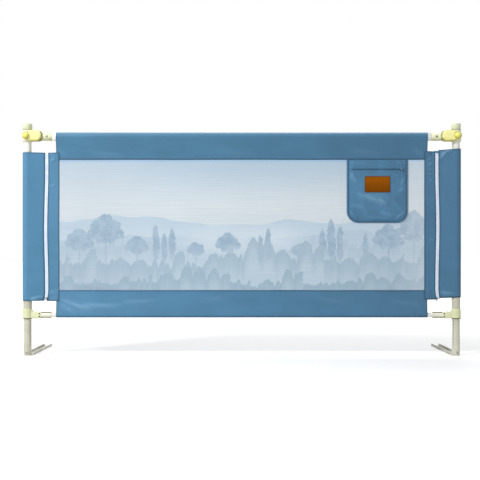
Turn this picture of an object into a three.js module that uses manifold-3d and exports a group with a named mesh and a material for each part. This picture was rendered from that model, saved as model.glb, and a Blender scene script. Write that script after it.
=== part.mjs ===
// Bed guard rail that lowers on telescoping posts, in millimetres.
// +X along the rail, +Y to the back, where the feet lie under the mattress, +Z up.
// The origin is on the floor, at the middle of the outline.
import * as THREE from "three";
import { mergeVertices } from "three/addons/utils/BufferGeometryUtils.js";
import Module from "manifold-3d";

const wasm = await Module();
wasm.setup();

// Overall sizes
const postSpacing = 1756;
const overallHeight = 950;
const topRailDrop = 55;
const lowerRailHeight = 165;

// Clearances
const gap = 0.3;
const endGap = 2;
const overrun = 2;

// Telescoping post
const middleTubeOuter = 35;
const tubeWall = 1.4;
const tubeOverlap = 100;
const footInsertion = 70;

// Foot tube's adjusting holes
const holePitch = 12;
const holeSteps = 11;
const holeDiameter = 6.4;

// Foot channel
const channelWidth = 35;
const channelHeight = 11;
const channelGauge = 2;
const channelInset = 8;
const channelReach = 378;
const channelTipSlope = 8;
const tangWidth = 17;
const tangHeight = 40;
const tangSetback = 8.6;
const footScrewHeight = 13;
const footScrewDiameter = 4;
const footScrewLength = 11;
const footScrewHead = 8;
const footScrewHeadHeight = 2.2;

// Lower connector
const lowerSleeveOuter = 40;
const lowerSleeveDrop = 15;
const lowerSleeveHeight = 41;
const lowerSleeveStep = 7;
const lowerSleeveStepDepth = 1;
const lowerLip = 2.5;
const lowerArmReach = 57;
const lowerArmDepth = 24;
const lowerArmHeight = 25;
const lowerArmRise = 1;
const lowerArmFillet = 8;
const lowerArmBevel = 2;
const lowerArmTaper = 2;
const lowerCollarReach = 98;
const lowerCollarWall = 1.5;
const snapWindow = 3;
const snapWindowDepth = 1.5;
const nubDiameter = 4;
const nubHeight = 1.4;
const nubInset = 7;

// Latch in the lower connector's arm
const latchDrop = 2;
const latchCavityLength = 28;
const latchCavityWall = 1.2;
const latchCavityDepth = 12;
const latchCavityHeight = 14;
const latchCavityFloor = 5;
const tabPlate = 3.7;
const tabLength = 14.5;
const tabBump = 8;
const tabBumpDepth = 8;
const tabBumpHeight = 6;
const tabTravel = 6;
const tabInset = 2.5;
const clawLength = 2;
const clawDrop = 3.5;
const clawDepth = 2.2;
const latchStripGauge = 0.8;
const latchNubDiameter = 5.6;
const latchNubReach = 1.6;

// Top connector
const socketOuter = 41;
const socketHeight = 48;
const socketDrop = 21;
const socketRound = 4;
const topArmReach = 60;
const topArmDepth = 30;
const topArmInset = 2.5;
const topCollarOuter = 33;
const topCollarReach = 103;
const collarLipLength = 3;
const collarLipDepth = 1;
const collarRoot = 4;
const railSeat = 17;
const screwReach = 82;
const recessDepth = 1.2;
const recessWidth = 9;
const recessHeight = 13;

// Front cover and push button
const coverHeight = 45;
const coverFront = 32;
const coverWall = 2.5;
const coverRing = 36;
const coverChamfer = 11;
const coverNeck = 15;
const coverBevel = 1.5;
const buttonDiameter = 26;
const buttonRise = 15;
const buttonWall = 2;
const buttonFlange = 29;
const buttonFlangeThickness = 2;
const buttonTravel = 6;
const buttonOffset = 3;
const stemDiameter = 7;
const stemMargin = 0.5;
const spotFace = 24;
const spotFaceDepth = 1;

// Push rod and lock clip in the post
const rodSide = 6;
const rodRatio = 0.5;
const plugFlange = 4;
const plugHeight = 60;
const clipChamberWidth = 20.8;
const clipChamberDepth = 9.2;
const clipChamberFloor = 8;
const clipChamberTop = 52;
const clipGauge = 0.9;
const clipLegTop = 36;
const clipNubHeight = 24;
const clipNubDiameter = 5.6;
const clipTabReach = 11;
const nubProud = 0.1;

// Springs
const springWire = 1.2;
const springMean = 10.5;
const springTurns = 5;

// Cap and bush
const capOuter = 38.5;
const capHeight = 27;
const capTop = 4;
const capBevel = 2.5;
const tubeInCap = 17;
const bushOuter = 37.4;
const bushCollar = 5;
const bushSkirt = 12;

// Rails
const topRailOuter = 25.4;
const lowerRailOuter = 19.6;
const railWall = 1.2;
const joinerWall = 1.5;
const joinerLength = 220;
const foamOuter = 33;
const railScrewDiameter = 3.6;
const railScrewLength = 8;
const railScrewHead = 7;
const railScrewHeadHeight = 1.8;

// Fabric cover
const clothLoop = 1.2;
const clothDouble = clothLoop * 2;
const seamWidth = 10;
const topBandDrop = 94;
const bottomBandRise = 101;
const bandEndInset = 118;
const meshThickness = 1.2;
const meshEndInset = 130;
const meshColumns = 10;
const meshRows = 16;
const meshThread = 5;
const borderWidth = 43.7;
const fabricBottomRise = 57;
const fabricTopDrop = 65;
const zipWidth = 13.7;
const zipTape = 1.8;
const zipTeethWidth = 5;
const zipTeethHeight = 0.9;
const panelBottomRise = 66;
const panelTopDrop = 57;

// Pocket and patch
const pocketInset = 323;
const pocketWidth = 250;
const pocketHeight = 258;
const pocketDepth = 8;
const pocketRound = 42;
const pocketBevel = 2;
const pocketZipDrop = 40;
const pocketZipWidth = 214;
const pocketZipHeight = 5;
const pocketZipProud = 1.2;
const patchWidth = 104;
const patchHeight = 66;
const patchThickness = 2;
const patchDrop = 101;
const patchRound = 5;

// Zip sliders and pulls
const sliderWidth = 10;
const sliderHeight = 13;
const sliderDepth = 3;
const sliderTaper = 2;
const earHeight = 4;
const earWidth = 1.4;
const earReach = 4;
const pinDiameter = 1.4;
const pinInset = 1.6;
const pullWidth = 4;
const pullLength = 20;
const pullThickness = 1;
const pullRing = 4.2;
const sliderLift = 14;
const pocketSliderInset = 9;

// Facets round a full circle
const tubeFacets = 20;
const smallFacets = 12;
const arcFacets = 4;
const roundFacets = 8;
const bevelSteps = 2;
const springSides = 5;
const springStepsPerTurn = 8;

// Sizes that follow from the ones above
const postX = postSpacing / 2;
const topRailHeight = overallHeight - topRailDrop;
const socketBottom = topRailHeight - socketDrop;
const buttonHeight = topRailHeight + buttonOffset;
const fabricTop = topRailHeight - fabricTopDrop;
const panelTop = topRailHeight - panelTopDrop;
const lowerSleeveBottom = lowerRailHeight - lowerSleeveDrop;
const latchHeight = lowerRailHeight - latchDrop;
const fabricBottom = lowerRailHeight + fabricBottomRise;
const panelBottom = lowerRailHeight + panelBottomRise;
const middleTubeInner = middleTubeOuter - tubeWall * 2;
const slidingTubeOuter = middleTubeInner - gap * 2;
const slidingTubeInner = slidingTubeOuter - tubeWall * 2;
const tubeBore = slidingTubeOuter + gap * 2;
const footTubeBottom = channelGauge + gap;
const footTubeTop = lowerSleeveBottom + footInsertion;
const footTravel = holePitch * holeSteps;
const lowestPlug = footTubeTop + footTravel + endGap;
const spareHeight = socketBottom - endGap - bushCollar - tubeOverlap - plugFlange - lowestPlug;
const liftTravel = spareHeight / 2;
const upperTubeBottom = lowestPlug + plugFlange + liftTravel;
const middleTubeBottom = lowerSleeveBottom + lowerLip + gap;
const middleTubeTop = upperTubeBottom + tubeOverlap;
const socketTop = socketBottom + socketHeight;
const capBottom = overallHeight - capHeight;
const upperTubeTop = capBottom + tubeInCap;
const lowerArmEnd = postX - lowerArmReach;
const stemReach = buttonTravel / 2 + stemMargin;
const lowerRailInner = lowerRailOuter - railWall * 2;
const lowerCollarBore = lowerRailOuter + gap * 2;
const lowerCollarOuter = lowerCollarBore + lowerCollarWall * 2;
const topArmEnd = postX - topArmReach;
const topCollarEnd = postX - topCollarReach;
const topCollarBore = topRailOuter + gap * 2;
const topRailInner = topRailOuter - railWall * 2;
const railTop = topArmEnd + railSeat - gap;
const lowerRailTop = lowerArmEnd + lowerCollarWall * 2 - gap;
const buttonFront = coverFront + buttonRise;
const buttonCeiling = buttonFront - buttonWall * 1.5;
const channelFront = slidingTubeOuter / 2;
const channelX = postX - channelInset;
const foamInner = topRailOuter + gap * 2;
const foamEnd = topCollarEnd - gap;
const topBandInner = foamOuter / 2 + gap;
const bottomBandInner = lowerRailOuter / 2 + gap;
const topBandBottom = topRailHeight - topBandDrop;
const bottomBandTop = lowerRailHeight + bottomBandRise;
const bandEnd = postX - bandEndInset;
const meshEnd = postX - meshEndInset;
const pocketCentre = postX - pocketInset;
const borderInner = meshEnd + gap;
const borderOuter = borderInner + borderWidth;
const zipInner = borderOuter + gap;
const zipOuter = zipInner + zipWidth;
const panelLoopInner = bushOuter / 2 + gap;
const sliderBottom = fabricBottom + sliderLift - sliderHeight;

// Half of the depth between the button's front and the foot's far end, taken off to centre the outline
const centreShift = (channelReach - channelFront - buttonFront) / 2;

// Colours and finishes
const finish = (color, roughness, metalness = 0) => ({ color, roughness, metalness });
const beigePaint = finish(0xd3d2c4, 0.45, 0.2);
const whitePaint = finish(0xf1f1ec, 0.4, 0.2);
const paleMoulding = finish(0xe2e4c6, 0.5);
const yellowMoulding = finish(0xf8efa0, 0.4);
const yellowButton = finish(0xf2ea74, 0.35);
const steel = finish(0x9a9a98, 0.35, 0.9);
const darkSteel = finish(0x3b3b38, 0.45, 0.8);
const nylon = finish(0xdcdcd6, 0.6);
const foam = finish(0xeef0f2, 0.9);
const blueCloth = finish(0x527d98, 0.85);
const meshCloth = finish(0xcddbe3, 0.9);
const zipCloth = finish(0xdde8f4, 0.7);
const leather = finish(0x8a520f, 0.6);
const pullEnamel = finish(0xe8eef4, 0.4, 0.3);

// Turns a geometry into one closed surface that faces out
function closed(geometry) {
  const bare = geometry.clone();
  bare.deleteAttribute("normal");
  bare.deleteAttribute("uv");
  const merged = mergeVertices(bare);
  const index = merged.index.array;
  const position = merged.attributes.position;
  const corners = [new THREE.Vector3(), new THREE.Vector3(), new THREE.Vector3()];
  const kept = [];
  let volume = 0;
  for (let i = 0; i < index.length; i += 3) {
    const [a, b, c] = index.subarray(i, i + 3);
    if (a === b || b === c || a === c) continue;
    kept.push(a, b, c);
    [a, b, c].forEach((vertex, k) => corners[k].fromBufferAttribute(position, vertex));
    volume += corners[0].dot(corners[1].clone().cross(corners[2]));
  }
  if (volume < 0) kept.reverse();
  merged.setIndex(kept);
  return merged;
}

function solid(geometry) {
  const surface = closed(geometry);
  const vertProperties = surface.attributes.position.array;
  const triVerts = new Uint32Array(surface.index.array);
  return new wasm.Manifold(new wasm.Mesh({ numProp: 3, vertProperties, triVerts }));
}

function surfaceOf(body) {
  const mesh = body.getMesh();
  const geometry = new THREE.BufferGeometry();
  geometry.setAttribute("position", new THREE.BufferAttribute(mesh.vertProperties, 3));
  geometry.setIndex(new THREE.BufferAttribute(mesh.triVerts, 1));
  return geometry;
}

const join = (...shapes) => surfaceOf(shapes.map(solid).reduce((a, b) => a.add(b)));
const cut = (shape, ...tools) => surfaceOf(tools.map(solid).reduce((a, b) => a.subtract(b), solid(shape)));

// An outline drawn in X and Y, extruded up from zero
function extruded(shape, depth, facets = tubeFacets, bevel = 0) {
  const straight = depth - bevel * 2;
  const geometry = new THREE.ExtrudeGeometry(shape, {
    depth: straight,
    curveSegments: facets / 2,
    bevelEnabled: bevel > 0,
    bevelThickness: bevel,
    bevelSize: bevel,
    bevelOffset: -bevel,
    bevelSegments: bevelSteps,
  });
  geometry.translate(0, 0, bevel);
  return closed(geometry);
}

const toX = new THREE.Matrix4().makeBasis(
  new THREE.Vector3(0, 1, 0),
  new THREE.Vector3(0, 0, 1),
  new THREE.Vector3(1, 0, 0),
);
const toY = new THREE.Matrix4().makeBasis(
  new THREE.Vector3(-1, 0, 0),
  new THREE.Vector3(0, 0, 1),
  new THREE.Vector3(0, 1, 0),
);

// The outline lies in Y and Z, and the extrusion runs along X from x
const alongX = (geometry, x) => geometry.applyMatrix4(toX).translate(x, 0, 0);

// The outline lies in X and Z, seen from the back, and the extrusion runs along Y from y
const alongY = (geometry, y) => geometry.applyMatrix4(toY).translate(0, y, 0);

function polygon(points) {
  return new THREE.Shape(points.map(([x, y]) => new THREE.Vector2(x, y)));
}

// The same outline as drawn in X and Z from the front, ready for alongY
const frontPolygon = (points) => polygon(points.map(([x, z]) => [-x, z]));

function disc(diameter, bore = 0, x = 0, y = 0) {
  const shape = new THREE.Shape();
  shape.absarc(x, y, diameter / 2, 0, Math.PI * 2);
  if (bore > 0) {
    const hole = new THREE.Path();
    hole.absarc(x, y, bore / 2, 0, Math.PI * 2);
    shape.holes.push(hole);
  }
  return shape;
}

function roundedRectangle(width, height, radius) {
  const x = width / 2;
  const y = height / 2;
  const shape = new THREE.Shape();
  shape.moveTo(-x + radius, -y);
  shape.lineTo(x - radius, -y);
  shape.absarc(x - radius, -y + radius, radius, -Math.PI / 2, 0);
  shape.lineTo(x, y - radius);
  shape.absarc(x - radius, y - radius, radius, 0, Math.PI / 2);
  shape.lineTo(-x + radius, y);
  shape.absarc(-x + radius, y - radius, radius, Math.PI / 2, Math.PI);
  shape.lineTo(-x, -y + radius);
  shape.absarc(-x + radius, -y + radius, radius, Math.PI, Math.PI * 1.5);
  return shape;
}

// A box given by its lowest and highest corners
function block(low, high) {
  const size = high.map((value, k) => value - low[k]);
  const geometry = new THREE.BoxGeometry(...size);
  return geometry.translate(...low.map((value, k) => value + size[k] / 2));
}

const rod = (diameter, low, high, facets = tubeFacets) =>
  extruded(disc(diameter), high - low, facets).translate(0, 0, low);

const rodX = (diameter, low, high, y, z, facets = tubeFacets) =>
  alongX(extruded(disc(diameter, 0, y, z), high - low, facets), low);

const rodY = (diameter, low, high, x, z, facets = tubeFacets) =>
  alongY(extruded(disc(diameter, 0, -x, z), high - low, facets), low);

const tube = (outer, bore, low, high, facets = tubeFacets) =>
  extruded(disc(outer, bore), high - low, facets).translate(0, 0, low);

const tubeX = (outer, bore, low, high, z, facets = tubeFacets) =>
  alongX(extruded(disc(outer, bore, 0, z), high - low, facets), low);

const revolved = (points, facets = tubeFacets) =>
  closed(
    new THREE.LatheGeometry(
      points.map(([r, z]) => new THREE.Vector2(r, z)),
      facets,
    ).rotateX(Math.PI / 2),
  );

// A helix about Z, for a coil spring
class Helix extends THREE.Curve {
  constructor(radius, low, high, turns) {
    super();
    Object.assign(this, { radius, low, high, turns });
  }

  getPoint(t, target = new THREE.Vector3()) {
    const angle = t * this.turns * Math.PI * 2;
    const height = this.low + (this.high - this.low) * t;
    return target.set(Math.cos(angle) * this.radius, Math.sin(angle) * this.radius, height);
  }
}

function coilSpring(mean, wire, low, high, turns) {
  const section = new THREE.Shape();
  for (let i = 0; i < springSides; i += 1) {
    const angle = (i / springSides) * Math.PI * 2;
    const point = [Math.cos(angle) * (wire / 2), Math.sin(angle) * (wire / 2)];
    if (i === 0) section.moveTo(...point);
    else section.lineTo(...point);
  }
  const path = new Helix(mean / 2, low + wire / 2, high - wire / 2, turns);
  return closed(
    new THREE.ExtrudeGeometry(section, { steps: turns * springStepsPerTurn, extrudePath: path }),
  );
}

const part = new THREE.Group();
part.position.y = -centreShift;

function add(group, name, geometry, look, place = [0, 0, 0]) {
  const material = new THREE.MeshStandardMaterial(look);
  const mesh = new THREE.Mesh(geometry, material);
  mesh.name = name;
  mesh.position.set(...place);
  group.add(mesh);
}

// Foot channel: a U with its flanges up behind the post, and a tang bent up inside the foot tube
function footChannel() {
  const outer = channelWidth / 2;
  const inner = outer - channelGauge;
  const bend = channelGauge;
  const section = new THREE.Shape();
  section.moveTo(-outer + bend, 0);
  section.lineTo(outer - bend, 0);
  section.absarc(outer - bend, bend, bend, -Math.PI / 2, 0);
  section.lineTo(outer, channelHeight);
  section.lineTo(inner, channelHeight);
  section.lineTo(inner, channelGauge);
  section.lineTo(-inner, channelGauge);
  section.lineTo(-inner, channelHeight);
  section.lineTo(-outer, channelHeight);
  section.lineTo(-outer, bend);
  section.absarc(-outer + bend, bend, bend, Math.PI, Math.PI * 1.5);
  const far = channelReach - channelFront;
  const channel = alongY(extruded(section, channelReach, arcFacets), -channelFront);
  const flangeFront = slidingTubeOuter / 2 + gap;
  const clearPost = block(
    [-outer - overrun, -channelFront - overrun, channelGauge],
    [outer + overrun, flangeFront, channelHeight + overrun],
  );
  const tipOutline = polygon([
    [far - channelTipSlope, channelHeight + overrun],
    [far - channelTipSlope, channelHeight],
    [far, channelGauge],
    [far + overrun, channelGauge],
    [far + overrun, channelHeight + overrun],
  ]);
  const tip = alongX(extruded(tipOutline, channelWidth + overrun * 2), -outer - overrun);
  const tangFront = -tangSetback - channelGauge;
  const tang = block(
    [channelInset - tangWidth / 2, tangFront, channelGauge / 2],
    [channelInset + tangWidth / 2, -tangSetback, tangHeight],
  );
  const thread = rodY(
    footScrewDiameter + gap * 2,
    tangFront - overrun,
    -tangSetback + overrun,
    channelInset,
    footScrewHeight,
    smallFacets,
  );
  return cut(join(cut(channel, clearPost, tip), tang), thread);
}

function footTube() {
  const height = footTubeTop - footTubeBottom;
  const body = tube(slidingTubeOuter, slidingTubeInner, 0, height);
  const holes = [];
  for (let i = 0; i <= holeSteps; i += 1) {
    const z = latchHeight - footTubeBottom - holePitch * i;
    holes.push(rodX(holeDiameter, -slidingTubeOuter, 0, 0, z, smallFacets));
  }
  const screwZ = footScrewHeight - footTubeBottom;
  const screwHole = rodY(footScrewDiameter + gap * 2, -slidingTubeOuter, 0, 0, screwZ, smallFacets);
  return cut(body, ...holes, screwHole);
}

// A pan head screw along +Y, its head's seat at y = 0
function screw(diameter, length, head, headHeight) {
  const profile = [
    [0, -headHeight],
    [head / 2 - headHeight / 2, -headHeight],
    [head / 2, -headHeight / 2],
    [head / 2, 0],
    [diameter / 2, 0],
    [diameter / 2, length],
    [0, length],
  ];
  const upright = revolved(profile, smallFacets);
  return upright.rotateX(-Math.PI / 2);
}

function middleTube() {
  const height = middleTubeTop - middleTubeBottom;
  const body = tube(middleTubeOuter, middleTubeInner, 0, height);
  const latchHole = rodX(
    holeDiameter,
    -middleTubeOuter,
    0,
    0,
    latchHeight - middleTubeBottom,
    smallFacets,
  );
  const lockZ = upperTubeBottom - plugFlange + clipNubHeight - middleTubeBottom;
  const lockHole = rodX(holeDiameter, 0, middleTubeOuter, 0, lockZ, smallFacets);
  return cut(body, latchHole, lockHole);
}

// Upper tube, with the lock nub's hole near its foot and the button stem's hole near its top
function upperTube() {
  const height = upperTubeTop - upperTubeBottom;
  const body = tube(slidingTubeOuter, slidingTubeInner, 0, height);
  const lockZ = clipNubHeight - plugFlange;
  const lockHole = rodX(holeDiameter, 0, slidingTubeOuter, 0, lockZ, smallFacets);
  const stemZ = buttonHeight - upperTubeBottom;
  const stemHole = rodY(stemDiameter + gap * 2, -slidingTubeOuter, 0, 0, stemZ, smallFacets);
  return cut(body, lockHole, stemHole);
}

function tubeBush() {
  const profile = [
    [tubeBore / 2, 0],
    [tubeBore / 2, bushCollar],
    [bushOuter / 2 - tubeWall, bushCollar],
    [bushOuter / 2, bushCollar - tubeWall],
    [bushOuter / 2, -bushSkirt],
    [middleTubeOuter / 2 + gap, -bushSkirt],
    [middleTubeOuter / 2 + gap, 0],
    [tubeBore / 2, 0],
  ];
  return revolved(profile);
}

function postCap() {
  const outer = capOuter / 2;
  const inner = tubeBore / 2;
  const ceiling = capHeight - capTop;
  return revolved([
    [0, ceiling],
    [inner, ceiling],
    [inner, 0],
    [outer - capBevel / 2, 0],
    [outer, capBevel / 2],
    [outer, capHeight - capBevel],
    [outer - capBevel / 2, capHeight - capBevel / 2],
    [outer - capBevel * 2, capHeight],
    [0, capHeight],
  ]);
}

// Places in the lower arm's cavity, measured from the post's axis, for the tab and the latch spring
const cavityOuterX = -middleTubeOuter / 2 - gap - latchCavityWall;
const cavityInnerX = cavityOuterX - latchCavityLength;
const cavityFloorZ = latchHeight - latchCavityFloor;
const cavityCeilingZ = cavityFloorZ + latchCavityHeight;
const tabInnerX = cavityInnerX + tabInset + tabTravel;

// Lower connector: sleeve round the post, arm with the latch's cavity, and collar for the lower rail
function lowerConnector() {
  const outer = lowerSleeveOuter / 2;
  const top = lowerSleeveBottom + lowerSleeveHeight;
  const stepRadius = outer - lowerSleeveStepDepth;
  const bore = middleTubeOuter / 2 + gap;
  const seat = lowerSleeveBottom + lowerLip;
  const sleeve = revolved([
    [tubeBore / 2, lowerSleeveBottom],
    [outer - lowerSleeveStepDepth, lowerSleeveBottom],
    [outer, lowerSleeveBottom + lowerSleeveStepDepth],
    [outer, top - lowerSleeveStep],
    [stepRadius, top - lowerSleeveStep + lowerSleeveStepDepth],
    [stepRadius, top],
    [bore, top],
    [bore, seat],
    [tubeBore / 2, seat],
    [tubeBore / 2, lowerSleeveBottom],
  ]);
  const armBottom = lowerSleeveBottom + lowerArmRise;
  const armTop = armBottom + lowerArmHeight;
  const end = -lowerArmReach;
  const armOutline = frontPolygon([
    [-bore / 2, armBottom],
    [end, armBottom + lowerArmTaper],
    [end, armTop - lowerArmTaper],
    [end + lowerArmFillet, armTop],
    [-outer - lowerArmFillet / 2, armTop],
    [-outer, armTop + lowerArmFillet],
    [-bore / 2, armTop + lowerArmFillet],
  ]);
  const arm = alongY(
    extruded(armOutline, lowerArmDepth, tubeFacets, lowerArmBevel),
    -lowerArmDepth / 2,
  );
  const collarEnd = -lowerCollarReach;
  const collar = rodX(lowerCollarOuter, collarEnd, end + overrun, 0, lowerRailHeight);
  const nubX = collarEnd + nubInset;
  const nubBottom = lowerRailHeight - lowerCollarOuter / 2 - nubHeight;
  const nub = rod(nubDiameter, nubBottom, nubBottom + nubHeight * 2, smallFacets).translate(nubX, 0, 0);
  const postHole = rod(bore * 2, seat, top + overrun);
  const footHole = rod(tubeBore, lowerSleeveBottom - overrun, seat + overrun);
  const railHole = rodX(
    lowerCollarBore,
    collarEnd - overrun,
    end + lowerCollarWall * 2,
    0,
    lowerRailHeight,
  );
  const cavity = block(
    [cavityInnerX, -latchCavityDepth / 2, cavityFloorZ],
    [cavityOuterX, latchCavityDepth / 2, cavityCeilingZ],
  );
  const slot = block(
    [tabInnerX - tabTravel - gap, -tabBumpDepth / 2 - gap, latchHeight],
    [tabInnerX + tabBump + gap, tabBumpDepth / 2 + gap, armTop + overrun],
  );
  const nubHole = rodX(latchNubDiameter + gap * 2, cavityOuterX - overrun, 0, 0, latchHeight, smallFacets);
  const windows = [-1, 1].map((side) => {
    const z = lowerRailHeight + side * snapWindow;
    const x = end + lowerCollarWall;
    return block(
      [x, -lowerArmDepth / 2 - overrun, z - snapWindow / 2],
      [x + snapWindow, -lowerArmDepth / 2 + snapWindowDepth, z + snapWindow / 2],
    );
  });
  const body = join(sleeve, arm, collar, nub);
  return cut(body, postHole, footHole, railHole, cavity, slot, nubHole, ...windows);
}

function releaseTab() {
  const top = cavityCeilingZ - gap;
  const bottom = top - tabPlate;
  const halfDepth = latchCavityDepth / 2 - gap;
  const plate = block([tabInnerX, -halfDepth, bottom], [tabInnerX + tabLength, halfDepth, top]);
  const bumpTop = lowerSleeveBottom + lowerArmRise + lowerArmHeight + tabBumpHeight;
  const bumpOutline = frontPolygon([
    [tabInnerX, top - gap],
    [tabInnerX + tabBump, top - gap],
    [tabInnerX + tabBump, bumpTop - tabBumpHeight / 3],
    [tabInnerX + tabBump - tabBumpHeight / 3, bumpTop],
    [tabInnerX + tabBumpHeight / 3, bumpTop],
    [tabInnerX, bumpTop - tabBumpHeight / 3],
  ]);
  const bump = alongY(extruded(bumpOutline, tabBumpDepth), -tabBumpDepth / 2);
  const clawX = tabInnerX + tabLength - clawLength;
  const claw = block(
    [clawX, halfDepth - clawDepth, bottom - clawDrop],
    [clawX + clawLength, halfDepth, bottom + gap],
  );
  return join(plate, bump, claw);
}

// Latch spring: a strip bent to a V in plan, its outer leg carrying the nub that locks the foot tube
function latchSpring() {
  const legOuter = tabInnerX + tabLength - clawLength - gap;
  const legInner = legOuter - latchStripGauge;
  const halfDepth = latchCavityDepth / 2 - gap;
  const tail = cavityInnerX + gap;
  const outline = polygon([
    [legOuter, -halfDepth],
    [legOuter, halfDepth],
    [legInner - latchStripGauge, halfDepth],
    [tail, -halfDepth + latchStripGauge],
    [tail, -halfDepth],
    [tail + latchStripGauge, -halfDepth],
    [legInner - latchStripGauge / 2, halfDepth - latchStripGauge * 2],
    [legInner, -halfDepth],
  ]);
  const bottom = cavityFloorZ + gap;
  const height = cavityCeilingZ - tabPlate - gap * 2 - bottom;
  const strip = extruded(outline, height).translate(0, 0, bottom);
  const tip = -slidingTubeInner / 2 + latchNubReach;
  const nub = rodX(latchNubDiameter, legInner, tip, 0, latchHeight, smallFacets);
  return join(strip, nub);
}

// Outline of the top arm and its cover, seen from the front, with a cut-off lower corner at the rail's end
function armOutline(inset, neck) {
  const half = coverHeight / 2 - inset;
  const end = -topArmReach + inset;
  return [
    [neck, buttonHeight - half],
    [end + coverChamfer, buttonHeight - half],
    [end, buttonHeight - half + coverChamfer],
    [end, buttonHeight + half - coverChamfer],
    [end + coverChamfer, buttonHeight + half],
    [neck, buttonHeight + half],
  ];
}

// Top connector: socket round the upper tube, arm, and collar for the top rail
function topConnector() {
  const outer = socketOuter / 2;
  const socket = revolved([
    [tubeBore / 2, socketBottom],
    [outer - socketRound, socketBottom],
    [outer - socketRound / 4, socketBottom + socketRound / 4],
    [outer, socketBottom + socketRound],
    [outer, socketTop - socketRound / 4],
    [outer - socketRound / 4, socketTop],
    [tubeBore / 2, socketTop],
    [tubeBore / 2, socketBottom],
  ]);
  const arm = alongY(
    extruded(frontPolygon(armOutline(topArmInset, -coverNeck / 2)), topArmDepth, tubeFacets, coverBevel),
    -topArmDepth / 2,
  );
  const collarEnd = -topCollarReach;
  const collarStart = collarEnd + collarLipLength;
  const collar = rodX(topCollarOuter, collarStart, -topArmReach + collarRoot, 0, topRailHeight);
  const lip = rodX(topCollarOuter - collarLipDepth * 2, collarEnd, -topArmReach, 0, topRailHeight);
  const postHole = rod(tubeBore, socketBottom - overrun, socketTop + overrun);
  const railHole = rodX(topCollarBore, collarEnd - overrun, -topArmReach + railSeat, 0, topRailHeight);
  const stemHole = rodY(stemDiameter + gap * 2, -socketOuter, 0, 0, buttonHeight, smallFacets);
  const face = rodY(spotFace, -socketOuter, -outer + spotFaceDepth, 0, buttonHeight);
  const screwX = -screwReach;
  const screwHole = rodY(
    railScrewDiameter + gap * 2,
    -topCollarOuter,
    0,
    screwX,
    topRailHeight,
    smallFacets,
  );
  const recess = alongY(
    extruded(roundedRectangle(recessHeight, recessWidth, recessWidth / 2 - gap), topCollarOuter, arcFacets),
    -topCollarOuter * 1.5 + recessDepth,
  ).translate(screwX, 0, topRailHeight);
  return cut(join(socket, arm, collar, lip), postHole, railHole, stemHole, face, screwHole, recess);
}

// Front cover: a shallow shell over the arm that runs into a ring round the button
function topCover() {
  const back = topArmDepth / 2 + gap;
  const depth = coverFront - back;
  const plate = alongY(
    extruded(frontPolygon(armOutline(0, -coverNeck)), depth + coverBevel, tubeFacets, coverBevel),
    -coverFront,
  );
  const ring = rodY(coverRing, -coverFront + coverBevel / 2, -back + coverBevel, 0, buttonHeight);
  const hollow = alongY(
    extruded(frontPolygon(armOutline(coverWall, -coverNeck - coverWall)), depth + coverWall),
    -coverFront + coverWall,
  );
  const ringHollow = rodY(coverRing - coverWall * 2, -coverFront + coverWall, 0, 0, buttonHeight);
  const buttonHole = rodY(buttonDiameter + gap * 2, -coverFront - overrun, 0, 0, buttonHeight);
  const socketRoom = rod(socketOuter + gap * 2, socketBottom - overrun, socketTop + overrun);
  const trimBack = block(
    [-topArmReach - overrun, -back, buttonHeight - coverHeight],
    [coverRing, overrun, buttonHeight + coverHeight],
  );
  const collarRoom = rodX(
    topCollarOuter + gap * 2,
    -topCollarReach,
    -topArmReach + collarRoot + gap,
    0,
    topRailHeight,
  );
  return cut(join(plate, ring), hollow, ringHollow, buttonHole, socketRoom, collarRoom, trimBack);
}

// Push button: a hollow dome on a stem whose nose rides on the push rod, with a flange behind the cover
function pushButton() {
  const flangeFront = coverFront - coverWall - gap;
  const flangeBack = flangeFront - buttonFlangeThickness;
  const outer = buttonDiameter / 2;
  const inner = outer - buttonWall;
  const shoulder = buttonFront - buttonRise / 2;
  const ceiling = buttonCeiling;
  const stem = stemDiameter / 2;
  const body = revolved([
    [0, -stemReach],
    [stem, -stemReach],
    [stem, ceiling],
    [inner - buttonRise / 3, ceiling],
    [inner, shoulder - buttonWall / 2],
    [inner, flangeBack],
    [buttonFlange / 2, flangeBack],
    [buttonFlange / 2, flangeFront],
    [outer, flangeFront],
    [outer, shoulder],
    [outer * Math.cos(Math.PI / 6), shoulder + (buttonRise / 2) * Math.sin(Math.PI / 6)],
    [outer * Math.cos(Math.PI / 3), shoulder + (buttonRise / 2) * Math.sin(Math.PI / 3)],
    [0, buttonFront],
  ]);
  body.rotateX(Math.PI / 2);
  const nose = alongX(
    extruded(
      polygon([
        [-stemReach, -stem],
        [stemReach, -stem + stemReach * 2 * rodRatio],
        [stemReach + overrun, -stem + (stemReach * 2 + overrun) * rodRatio],
        [stemReach + overrun, -stemDiameter],
        [-stemReach, -stemDiameter],
      ]),
      stemDiameter * 2,
    ),
    -stemDiameter,
  );
  return cut(body, nose);
}

// Push rod: a square bar whose top slopes under the button's nose and whose foot slopes over the clip
function pushRod() {
  const half = rodSide / 2;
  const slopeGap = gap * Math.hypot(1, rodRatio);
  const noseFace = buttonHeight - stemDiameter / 2 + stemReach * rodRatio - slopeGap;
  const clipFace = clipLegTop + clipChamberWidth / 2 - gap + gap * Math.SQRT2;
  const foot = upperTubeBottom - plugFlange + clipFace;
  const side = polygon([
    [-half, foot - rodSide],
    [half, foot - rodSide],
    [half, noseFace + half * rodRatio],
    [-half, noseFace - half * rodRatio],
  ]);
  const bar = alongX(extruded(side, rodSide), -half);
  const below = frontPolygon([
    [-half - overrun, foot + half + overrun],
    [half + overrun, foot - half - overrun],
    [half + overrun, foot - rodSide * 2],
    [-half - overrun, foot - rodSide * 2],
  ]);
  return cut(bar, alongY(extruded(below, rodSide * 2), -rodSide));
}

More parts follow.
